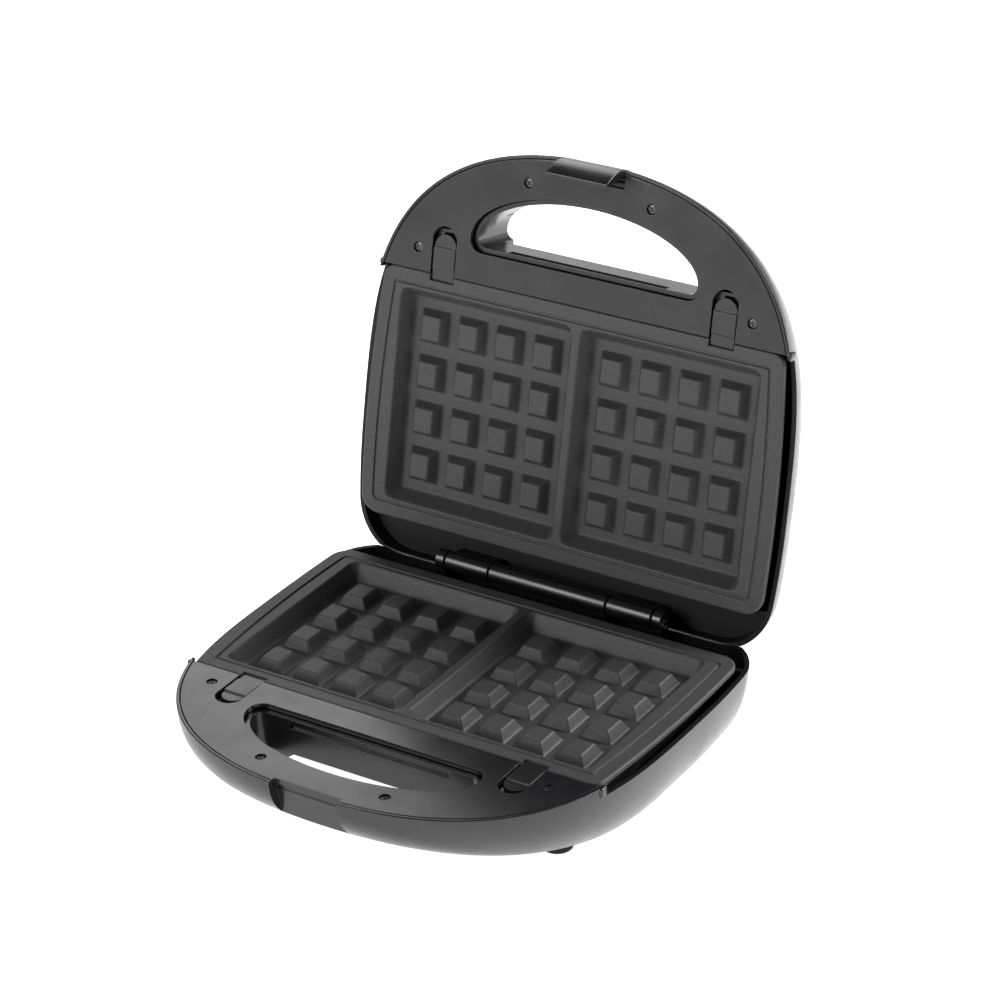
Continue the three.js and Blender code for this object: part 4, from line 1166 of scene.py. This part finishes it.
@dataclass
class HandleCover:
    """The flat cover over one handle, with its hole, clip slots and screw recesses."""

    half: Half
    thick: float = 2.6
    rim: float = 1.6
    gap: float = 0.4

    def build(self) -> Solid:
        """Builds the cover.

        Returns:
            The solid.
        """
        plan = SHELL.half()
        edge = self.rim + self.gap
        sheet = loft([ring(inset(plan, edge + 0.35), 0), ring(inset(plan, edge + 0.12), -0.1),
                      ring(inset(plan, edge), -0.35), ring(inset(plan, edge), -self.thick)])
        back = POCKET.ledge if self.half is Half.BASE else POCKET.lid_back
        end = PLATE.depth + CLIPS.end + CLIPS.travel
        cuts = [
            block(-FAR, FAR, -FAR, PLATE.depth + self.gap, -FAR, FAR),
            prism_n(whole(inset(HOLE.half(PLATE.depth), -self.gap)), -FAR, FAR),
            block(-POCKET.half_width, POCKET.half_width, PLATE.depth + back, FAR, -FAR, FAR),
        ]
        cuts += [prism_n(CLIPS.path(side, CLIPS.gap, PLATE.depth - 1, end), -FAR, FAR) for side in SIDES]
        for x, v in SCREWS.all(PLATE.depth):
            seat = -SCREWS.recess - SCREWS.head_thick - 0.15
            cuts.append(rod(Axis.N, SCREWS.head_radius + SCREWS.head_gap, seat, FAR, x, v))
            cuts.append(rod(Axis.N, SCREWS.bore, -FAR, FAR, x, v))
        return sheet.cut(*cuts)

    def dress(self) -> None:
        """Builds the cover and its four screws."""
        body = self.half.value
        piece(f"{body}_handle_cover", self.build(), self.half, body, "handle_cover", TEXTURED_ABS)
        for i, (x, v) in enumerate(SCREWS.all(PLATE.depth)):
            screw = CoverScrew(x, v, 20.0 + 37.0 * i)
            piece(f"{body}_cover_screw_{i + 1}", screw.build(), self.half, body, "screw_steel", BLACK_OXIDE)


@dataclass
class CoverScrew:
    """A cross-head screw, driven to its own angle."""

    x: float
    v: float
    angle: float
    shank: float = 1.1
    length: float = 9.0
    crown: float = 0.45
    cross: tuple[float, float, float] = (3.0, 0.62, 0.8)

    def build(self) -> Solid:
        """Builds the screw.

        Returns:
            The solid.
        """
        top = -SCREWS.recess
        seat = top - SCREWS.head_thick
        radius = SCREWS.head_radius
        dome = [(radius * math.cos(t), top - self.crown + self.crown * math.sin(t))
                for t in (math.pi / 2 * i / 8 for i in range(8))]
        profile = [(0.3, seat - self.length), (self.shank, seat - self.length + 2), (self.shank, seat),
                   (radius, seat)] + dome + [(0.2, top)]
        long, short, deep = self.cross
        arms = []
        for quarter in (0, math.pi / 2):
            turn = math.radians(self.angle) + quarter
            c, s = math.cos(turn), math.sin(turn)
            a_half, b_half = long / 2, short / 2
            corners = ((-a_half, -b_half), (a_half, -b_half), (a_half, b_half), (-a_half, b_half))
            outline = [(self.x + c * a - s * b, self.v + s * a + c * b) for a, b in corners]
            arms.append(prism_n(outline, top - deep, 1))
        return turned(Axis.N, profile, self.x, self.v).cut(*arms)


# ---------------------------------------------------------------- the cooking plates


def smooth_min(a: np.ndarray, b: np.ndarray | float, blend: float) -> np.ndarray:
    """The lower of two heights, rounded where they cross.

    Args:
        a: First heights.
        b: Second heights.
        blend: Width of the round, in the heights' units.

    Returns:
        The heights.
    """
    near = np.maximum(blend - np.abs(a - b), 0) / blend
    return np.minimum(a, b) - near * near * blend / 4


def smooth_max(a: np.ndarray, b: np.ndarray | float, blend: float) -> np.ndarray:
    """The higher of two heights, rounded where they cross."""
    return -smooth_min(-a, -b, blend)


def stations(edges: Iterable[float], low: float, high: float) -> list[float]:
    """Spaces grid lines: close together at each edge and at most a step apart elsewhere.

    Args:
        edges: Where the surface bends.
        low: First line.
        high: Last line.

    Returns:
        The lines, in order.
    """
    near = (-1.2, -0.75, -0.4, -0.15, 0.15, 0.4, 0.75, 1.2)
    marks = sorted({e + o for e in edges for o in near if low + 0.2 < e + o < high - 0.2} | {high})
    lines = [low]
    for mark in marks:
        gap = mark - lines[-1]
        if gap < 0.16:
            continue
        count = max(1, math.ceil(gap / 1.6))
        lines += [lines[-1] + gap * (i + 1) / count for i in range(count)]
    lines[-1] = high
    return lines


@dataclass
class WafflePlate:
    """A cast plate: flange with a drip groove, two drafted pans and four by four studs in each."""

    half: Half
    flange: float = 3.0
    body_inset: float = 7.0
    bottom: float = 11.0
    pan_depth: float = 8.4
    draft: float = 4.6
    pan_corner: float = 5.0
    ridge: float = 4.2
    rim: float = 9.5
    outer_x: float = 99.8
    groove: float = 6.6
    groove_width: float = 1.4
    groove_depth: float = 0.8
    columns: int = 4
    rows: int = 4
    pitch: Point = (21.4, 23.5)
    stud_base: Point = (16.2, 17.1)
    stud_top: Point = (10.2, 12.0)
    stud_height: float = 5.3
    margin: float = 1.25
    notch_gap: float = 0.6
    notch_reach: float = 3.4
    notch_depth: float = 2.1
    pan_lip_blend: float = 0.9
    pan_foot_blend: float = 1.8
    stud_corner_blend: float = 1.5
    stud_top_blend: float = 0.9
    stud_foot_blend: float = 1.2

    def stud_centres(self) -> tuple[list[float], list[float]]:
        """The studs' columns across x and rows along v."""
        middle = (self.outer_x + self.ridge / 2) / 2
        columns = [side * (middle + (i - (self.columns - 1) / 2) * self.pitch[0])
                   for side in SIDES for i in range(self.columns)]
        rows = [PLATE.depth / 2 + (i - (self.rows - 1) / 2) * self.pitch[1] for i in range(self.rows)]
        return columns, rows

    def heights(self, x: np.ndarray, v: np.ndarray) -> np.ndarray:
        """The cooking surface's height over the pans.

        Args:
            x: Grid of x.
            v: Grid of v.

        Returns:
            Heights n, 0 on the flange.
        """
        half_x = (self.outer_x - self.ridge / 2) / 2
        half_v = PLATE.depth / 2 - self.rim
        across = np.abs(np.abs(x) - self.ridge / 2 - half_x) - (half_x - self.pan_corner)
        along = np.abs(v - PLATE.depth / 2) - (half_v - self.pan_corner)
        outside = np.hypot(np.maximum(across, 0), np.maximum(along, 0))
        outside += np.minimum(np.maximum(across, along), 0)
        slope = self.pan_depth / self.draft
        surface = smooth_min((outside - self.pan_corner) * slope, 0.0, self.pan_lip_blend)
        surface = smooth_max(surface, -self.pan_depth, self.pan_foot_blend)
        columns, rows = self.stud_centres()
        near_x = np.min([np.abs(x - c) for c in columns], axis=0)
        near_v = np.min([np.abs(v - r) for r in rows], axis=0)
        rise_x = (self.stud_base[0] / 2 - near_x) / ((self.stud_base[0] - self.stud_top[0]) / 2)
        rise_v = (self.stud_base[1] / 2 - near_v) / ((self.stud_base[1] - self.stud_top[1]) / 2)
        stud = smooth_min(rise_x * self.stud_height, rise_v * self.stud_height, self.stud_corner_blend)
        stud = smooth_min(stud, self.stud_height, self.stud_top_blend)
        return smooth_max(surface, stud - self.pan_depth, self.stud_foot_blend)

    def grid(self) -> tuple[list[float], list[float]]:
        """The grid's lines: close at every stud's and pan's edges."""
        columns, rows = self.stud_centres()
        pan_x = [side * e for side in SIDES for e in (self.ridge / 2, self.ridge / 2 + self.draft,
                                                     self.outer_x - self.draft, self.outer_x)]
        widths = (self.stud_base[0], self.stud_top[0])
        stud_x = [c + s * w / 2 for c in columns for s in SIDES for w in widths]
        ends = (self.rim, self.rim + self.draft, PLATE.depth - self.rim - self.draft, PLATE.depth - self.rim)
        stud_v = [r + s * w / 2 for r in rows for s in SIDES for w in (self.stud_base[1], self.stud_top[1])]
        reach = self.outer_x + self.margin
        return (stations(pan_x + stud_x, -reach, reach),
                stations(list(ends) + stud_v, self.rim - self.margin, PLATE.depth - self.rim + self.margin))

    def flank(self) -> list[tuple[float, float]]:
        """The profile outside the pans: (distance in from the edge, height), groove to bottom."""
        inner = self.groove + self.groove_width
        deep = self.groove_depth
        return [(inner + 0.1, 0), (inner - 0.05, -0.12), (inner - 0.25, -deep + 0.1), (inner - 0.45, -deep),
                (self.groove + 0.45, -deep), (self.groove + 0.25, -deep + 0.1), (self.groove + 0.05, -0.12),
                (self.groove - 0.1, 0), (1.0, 0), (0.55, -0.08), (0.22, -0.3), (0.04, -0.65), (0, -1.0),
                (0, -self.flange + 0.5), (0.2, -self.flange + 0.1), (0.5, -self.flange),
                (self.body_inset, -self.flange), (self.body_inset + 0.5, -self.flange - 0.5),
                (self.body_inset + 2.5, -self.bottom + 0.8), (self.body_inset + 3.3, -self.bottom)]

    def build(self) -> Solid:
        """Builds the plate.

        Returns:
            The solid.
        """
        xs, vs = self.grid()
        gx, gv = np.meshgrid(xs, vs)
        height = self.heights(gx, gv)
        points: list[Sequence[float]] = list(zip(gx.ravel(), gv.ravel(), height.ravel()))
        wide, tall = len(xs), len(vs)
        faces: list[tuple[int, ...]] = [
            (r * wide + c, r * wide + c + 1, (r + 1) * wide + c + 1, (r + 1) * wide + c)
            for r in range(tall - 1) for c in range(wide - 1)]
        border = [c for c in range(wide)] + [r * wide + wide - 1 for r in range(1, tall)]
        border += [(tall - 1) * wide + c for c in range(wide - 2, -1, -1)]
        border += [r * wide for r in range(tall - 2, 0, -1)]
        for i in border:
            points[i] = (points[i][0], points[i][1], 0.0)
        rings = [ring(PLATE.half(distance), n) for distance, n in self.flank()]
        start, count = len(points), len(rings[0])
        points += [tuple(p) for r in rings for p in r]
        loops = [list(range(start, start + count)), border]
        flat = [i for loop in loops for i in loop]
        faces += [tuple(flat[i] for i in t)
                  for t in tessellate_polygon([[Vector(points[i]) for i in loop] for loop in loops])]
        for level in range(len(rings) - 1):
            a = start + level * count
            faces += [
            (a + i, a + (i + 1) % count, a + count + (i + 1) % count, a + count + i) for i in range(count)
        ]
        faces += ladder_cap(start + (len(rings) - 1) * count, count)
        half = CLIPS.width / 2 + self.notch_gap
        notches = [block(side * CLIPS.x - half, side * CLIPS.x + half, PLATE.depth - self.notch_reach, FAR,
                         -self.notch_depth, FAR) for side in SIDES]
        return Solid.of(points, faces).cut(*notches)

    def dress(self) -> None:
        """Builds the plate and sprays it with its non-stick coat."""
        which = "lower" if self.half is Half.BASE else "upper"
        piece(f"{which}_waffle_plate", self.build(), self.half, self.half.value, "non_stick_plate", NON_STICK)


# ---------------------------------------------------------------- clips, latch and small parts


@dataclass
class ReleaseClip:
    """A sliding clip: nose in the plate's notch, ridge, neck and a dished thumb end."""

    half: Half
    side: int
    nose: float = 2.8
    nose_thick: float = 0.9
    step: float = 13.7
    step_drop: float = 0.8
    ridge: float = 4.6
    ridge_width: float = 2.0
    ridge_rise: float = 0.5
    tab: tuple[float, float, float] = (5.7, 2.0, 1.9)
    tab_bottom: float = 7.75
    edge: float = 0.28

    def build(self) -> Solid:
        """Builds the clip.

        Returns:
            The solid.
        """
        top, under = -CLIPS.setback, -CLIPS.setback - CLIPS.thick
        front = PLATE.depth
        x0, x1 = self.side * CLIPS.x - CLIPS.width / 2, self.side * CLIPS.x + CLIPS.width / 2
        tongue = prism_n(CLIPS.path(self.side, 0, front + 0.6, front + CLIPS.end), under, top)
        low = top - self.ridge_rise
        tongue = tongue.cut(block(x0 - 1, x1 + 1, front + self.step, FAR, top - self.step_drop, FAR),
                            block(x0 - 1, x1 + 1, -FAR, front + self.ridge - self.ridge_width, low, FAR))
        nose = block(x0, x1, front - self.nose, front + 2, low - self.nose_thick, low)
        start, thick, half = self.tab
        middle = self.side * CLIPS.x
        tab = block(middle - half, middle + half, front + start, front + start + thick,
                    -self.tab_bottom, under + 1)
        return bevelled(tongue.join(nose), self.edge).join(tab)

    def dress(self) -> None:
        """Builds the clip and gives it its nylon finish."""
        which = "lower" if self.half is Half.BASE else "upper"
        name = f"{which}_clip_{world_side(self.half, self.side)}"
        piece(name, self.build(), self.half, name, "clip_plastic", CLIP_NYLON)


@dataclass
class Latch:
    """The bowed latch on the lid's handle, with its pull lip, catch ridge and eye."""

    half_width: float = 16.6
    gap: float = 0.5
    reach: float = 14.2
    lip: float = 2.0
    crown: float = 69.9
    tail: float = 12.6
    pivot: Point = (64.4, -7.2)
    eye: float = 2.4
    bore: float = 1.3
    catch_gap: float = 0.4
    mating: float = 0.7
    cover_seat: float = 2.9

    def section(self) -> list[Point]:
        """The latch's section as (v, n)."""
        ledge = POCKET.ledge + self.gap

        def face(n: float) -> float:
            """The inner face's v, off the closed base's pocket."""
            return ledge - POCKET.slope * max(0.0, n - self.mating)

        fall = self.crown - face(self.reach) - self.lip
        steps = 28
        levels = [self.reach - (self.reach + self.tail) * i / steps for i in range(steps + 1)]
        back = [(self.crown - fall * (n / self.reach) ** 2, n) for n in levels]
        top = self.mating + self.cover_seat + self.catch_gap
        end = top + POCKET.catch_height - 2 * self.catch_gap
        ridge = POCKET.ledge - POCKET.catch_depth + self.catch_gap
        pivot_v, pivot_n = self.pivot
        front = [(pivot_v, -self.tail), (pivot_v, pivot_n + self.eye), (ledge, -self.eye), (ledge, top - 0.2),
                 (ridge, top + 0.2), (ridge, end - 0.2), (face(end), end), (face(self.reach), self.reach)]
        return [(PLATE.depth + v, n) for v, n in back + front]

    def build(self) -> Solid:
        """Builds the latch.

        Returns:
            The solid.
        """
        v, n = PLATE.depth + self.pivot[0], self.pivot[1]
        arm = bevelled(prism_x(self.section(), -self.half_width, self.half_width), 0.35)
        eye = rod(Axis.X, self.eye, -self.half_width, self.half_width, v, n, 0.3)
        return arm.join(eye).cut(rod(Axis.X, self.bore, -FAR, FAR, v, n))

    def dress(self) -> None:
        """Builds the latch and gives it its satin finish."""
        piece("latch", self.build(), Half.LID, "latch", "latch_plastic", TEXTURED_ABS)


@dataclass
class SmallParts:
    """Feet, cord gland and lamps, and the finishes of the pieces that stay as the CAD has them."""

    foot_radius: float = 7.5
    foot_socket: float = 1.1
    lamp: tuple[float, float, float, float] = (13.0, 84.0, 4.0, 7.0)
    gland: tuple[float, float, float, float] = (62.0, 29.0, 5.0, 3.4)

    def feet(self, shell: Shell) -> None:
        """Builds the four feet.

        Args:
            shell: The base, whose underside they fill out to the worktop.
        """
        low = -PLACES.mating / MM
        for i, (x, v) in enumerate(shell.foot_places):
            top = self.foot_socket - shell.depth_at(v + self.foot_radius)
            foot = rod(Axis.N, self.foot_radius, low, top, x, v, 0.8)
            hollow = rod(Axis.N, self.foot_radius - 2.6, low - 1, low + 0.6, x, v)
            piece(f"foot_{i + 1}", foot.cut(hollow), Half.BASE, "base", "foot_rubber", MOULDED_RUBBER)

    def cord_gland(self) -> None:
        """Builds the sleeve that the mains lead would pass through."""
        x, drop, radius, bore = self.gland
        out = -SHELL.rear - 1
        collar = [
            (radius + 1.2, out - 2), (radius + 1.6, out - 1.6),
            (radius + 1.6, out + 0.2), (radius + 1.3, out + 0.5),
        ]
        profile = [(bore + 0.4, out - 2)] + collar + [(radius, out + 0.5), (radius, out + 13)]
        sleeve = turned(Axis.V, profile, x, -drop).cut(rod(Axis.V, bore, -FAR, FAR, x, -drop))
        piece("cord_gland", sleeve, Half.BASE, "base", "foot_rubber", MOULDED_RUBBER)

    def lamps(self, depth: float) -> None:
        """Builds the two lamp lenses.

        Args:
            depth: The lid's depth, which they stand a little proud of.
        """
        x, v, radius, length = self.lamp
        lenses = (("power_lamp", -1, "red_lens", RED_LENS), ("ready_lamp", 1, "green_lens", GREEN_LENS))
        for name, side, slot, finish in lenses:
            low = -depth - 0.8
            turns = [math.pi / 2 * i / 8 for i in range(1, 9)]
            dome = [(radius * math.sin(t), low + 0.8 - 0.8 * math.cos(t)) for t in turns]
            lens = turned(Axis.N, dome + [(radius, low + length)], side * x, v)
            piece(name, lens, Half.LID, "lid", slot, finish)

    def dress_kept(self) -> None:
        """Gives every piece that keeps its CAD shape its own finish."""
        kept = {
            HEATED_STEEL: ("lower_heater", "upper_heater"),
            PRESSED_SHEET: ("lower_reflector", "upper_reflector"),
            FIRED_STEATITE: ("thermostat",),
            DRAWN_STEEL: (
                "thermal_fuse", "hinge_pin_left", "hinge_pin_right", "latch_pin",
                "lower_clip_spring_left", "lower_clip_spring_right",
                "upper_clip_spring_left", "upper_clip_spring_right",
            ),
        }
        for finish, names in kept.items():
            for name in names:
                mesh = frame["nodes"][name].data
                mesh.materials.clear()
                mesh.materials.append(finish.material())
                LOG.info("%s: keeps its shape, %s", name, finish.name)


# ---------------------------------------------------------------- studio


@dataclass
class Studio:
    """White sweep, soft lights and the camera."""

    camera_mm: tuple[float, float, float] = (768.94, -1162.36, 860.81)
    azimuth: float = 32.827
    elevation: float = 27.797
    roll: float = -1.662
    lens: float = 123.4
    floor_size: float = 12.0
    floor_glow: float = 0.95
    horizon: float = 1.0
    zenith: float = 0.1

    def floor(self) -> None:
        """Lays a pale floor, lit a little from beneath."""
        mesh = bpy.data.meshes.new("floor")
        half = self.floor_size / 2
        corners = [(-half, -half, 0), (half, -half, 0), (half, half, 0), (-half, half, 0)]
        mesh.from_pydata(corners, [], [(0, 1, 2, 3)])
        ground = bpy.data.objects.new("floor", mesh)
        bpy.context.scene.collection.objects.link(ground)
        sheet = bpy.data.materials.new("acrylic_opal_lit_sheet")
        sheet.use_nodes = True
        shader = sheet.node_tree.nodes["Principled BSDF"]
        shader.inputs["Base Color"].default_value = linear("#f6f6f6")
        shader.inputs["Roughness"].default_value = 0.8
        shader.inputs["Emission Color"].default_value = linear("#ffffff")
        shader.inputs["Emission Strength"].default_value = self.floor_glow
        mesh.materials.append(sheet)

    def sky_light(self) -> None:
        """Surrounds the set with light that is bright at the horizon and dim overhead."""
        world = bpy.data.worlds.new("studio")
        world.use_nodes = True
        tree = world.node_tree
        way = add(tree, "ShaderNodeTexCoord").outputs["Generated"]
        height = add(tree, "ShaderNodeSeparateXYZ", inputs={0: way}).outputs[2]
        glow = add(tree, "ShaderNodeMapRange", {"interpolation_type": "SMOOTHSTEP"}, {
            0: height, 1: 0.0, 2: 0.4, 3: self.horizon, 4: self.zenith}).outputs[0]
        tree.links.new(glow, tree.nodes["Background"].inputs["Strength"])
        tree.nodes["Background"].inputs["Color"].default_value = linear("#ffffff")
        bpy.context.scene.world = world

    def lamp(self, name: str, place: tuple[float, float, float], aim: tuple[float, float, float], size: float,
             power: float) -> None:
        """Hangs one soft box.

        Args:
            name: The light's name.
            place: Where it hangs, in metres.
            aim: Where it points.
            size: Its width.
            power: Its power in watts.
        """
        light = bpy.data.lights.new(name, "AREA")
        light.shape = "SQUARE"
        light.size = size
        light.energy = power
        lamp = bpy.data.objects.new(name, light)
        lamp.location = place
        lamp.rotation_euler = (Vector(place) - Vector(aim)).to_track_quat("Z", "Y").to_euler()
        bpy.context.scene.collection.objects.link(lamp)

    def camera(self) -> None:
        """Sets the camera up, level but for a slight roll."""
        a, e, r = (math.radians(d) for d in (self.azimuth, self.elevation, self.roll))
        back = Vector((math.sin(a) * math.cos(e), -math.cos(a) * math.cos(e), math.sin(e)))
        right = Vector((0, 0, 1)).cross(back).normalized()
        up = back.cross(right)
        across = right * math.cos(r) + up * math.sin(r)
        along = up * math.cos(r) - right * math.sin(r)
        data = bpy.data.cameras.new("camera")
        data.lens = self.lens
        data.sensor_width = 36
        data.clip_end = 50
        camera = bpy.data.objects.new("camera", data)
        camera.matrix_world = Matrix.Translation(Vector(self.camera_mm) * MM) @ Matrix(
            (across, along, back)).transposed().to_4x4()
        bpy.context.scene.collection.objects.link(camera)
        bpy.context.scene.camera = camera

    def build(self) -> None:
        """Builds the whole set."""
        self.floor()
        self.sky_light()
        self.lamp("key", (-1.3, -2.1, 1.3), (0, 0, 0.12), 1.3, 40)
        self.lamp("rear_left", (-1.8, 2.3, 1.6), (0, 0, 0.05), 1.5, 18)
        self.lamp("right_rear", (1.4, 1.5, 1.5), (0.5, 0.5, 0), 1.2, 90)
        bpy.context.scene.view_settings.view_transform = "Standard"
        self.camera()


def main() -> None:
    """Builds every sub-assembly in order."""
    logging.basicConfig(level=logging.INFO, format="%(name)s %(message)s")
    feet = tuple((side * 84.0, v) for v in (7.0, 120.0) for side in SIDES)
    base = Shell(Half.BASE, depth=42.0, curl=19.6, foot_places=feet)
    lid = Shell(Half.LID, depth=38.0, curl=25.5, exponent=1.8)
    for shell in (base, lid):
        shell.dress()
        HandleCover(shell.half).dress()
        WafflePlate(shell.half).dress()
        for side in SIDES:
            ReleaseClip(shell.half, side).dress()
    Latch().dress()
    small = SmallParts()
    small.feet(base)
    small.cord_gland()
    small.lamps(lid.depth)
    small.dress_kept()
    Studio().build()


if __name__ == "__main__":
    main()
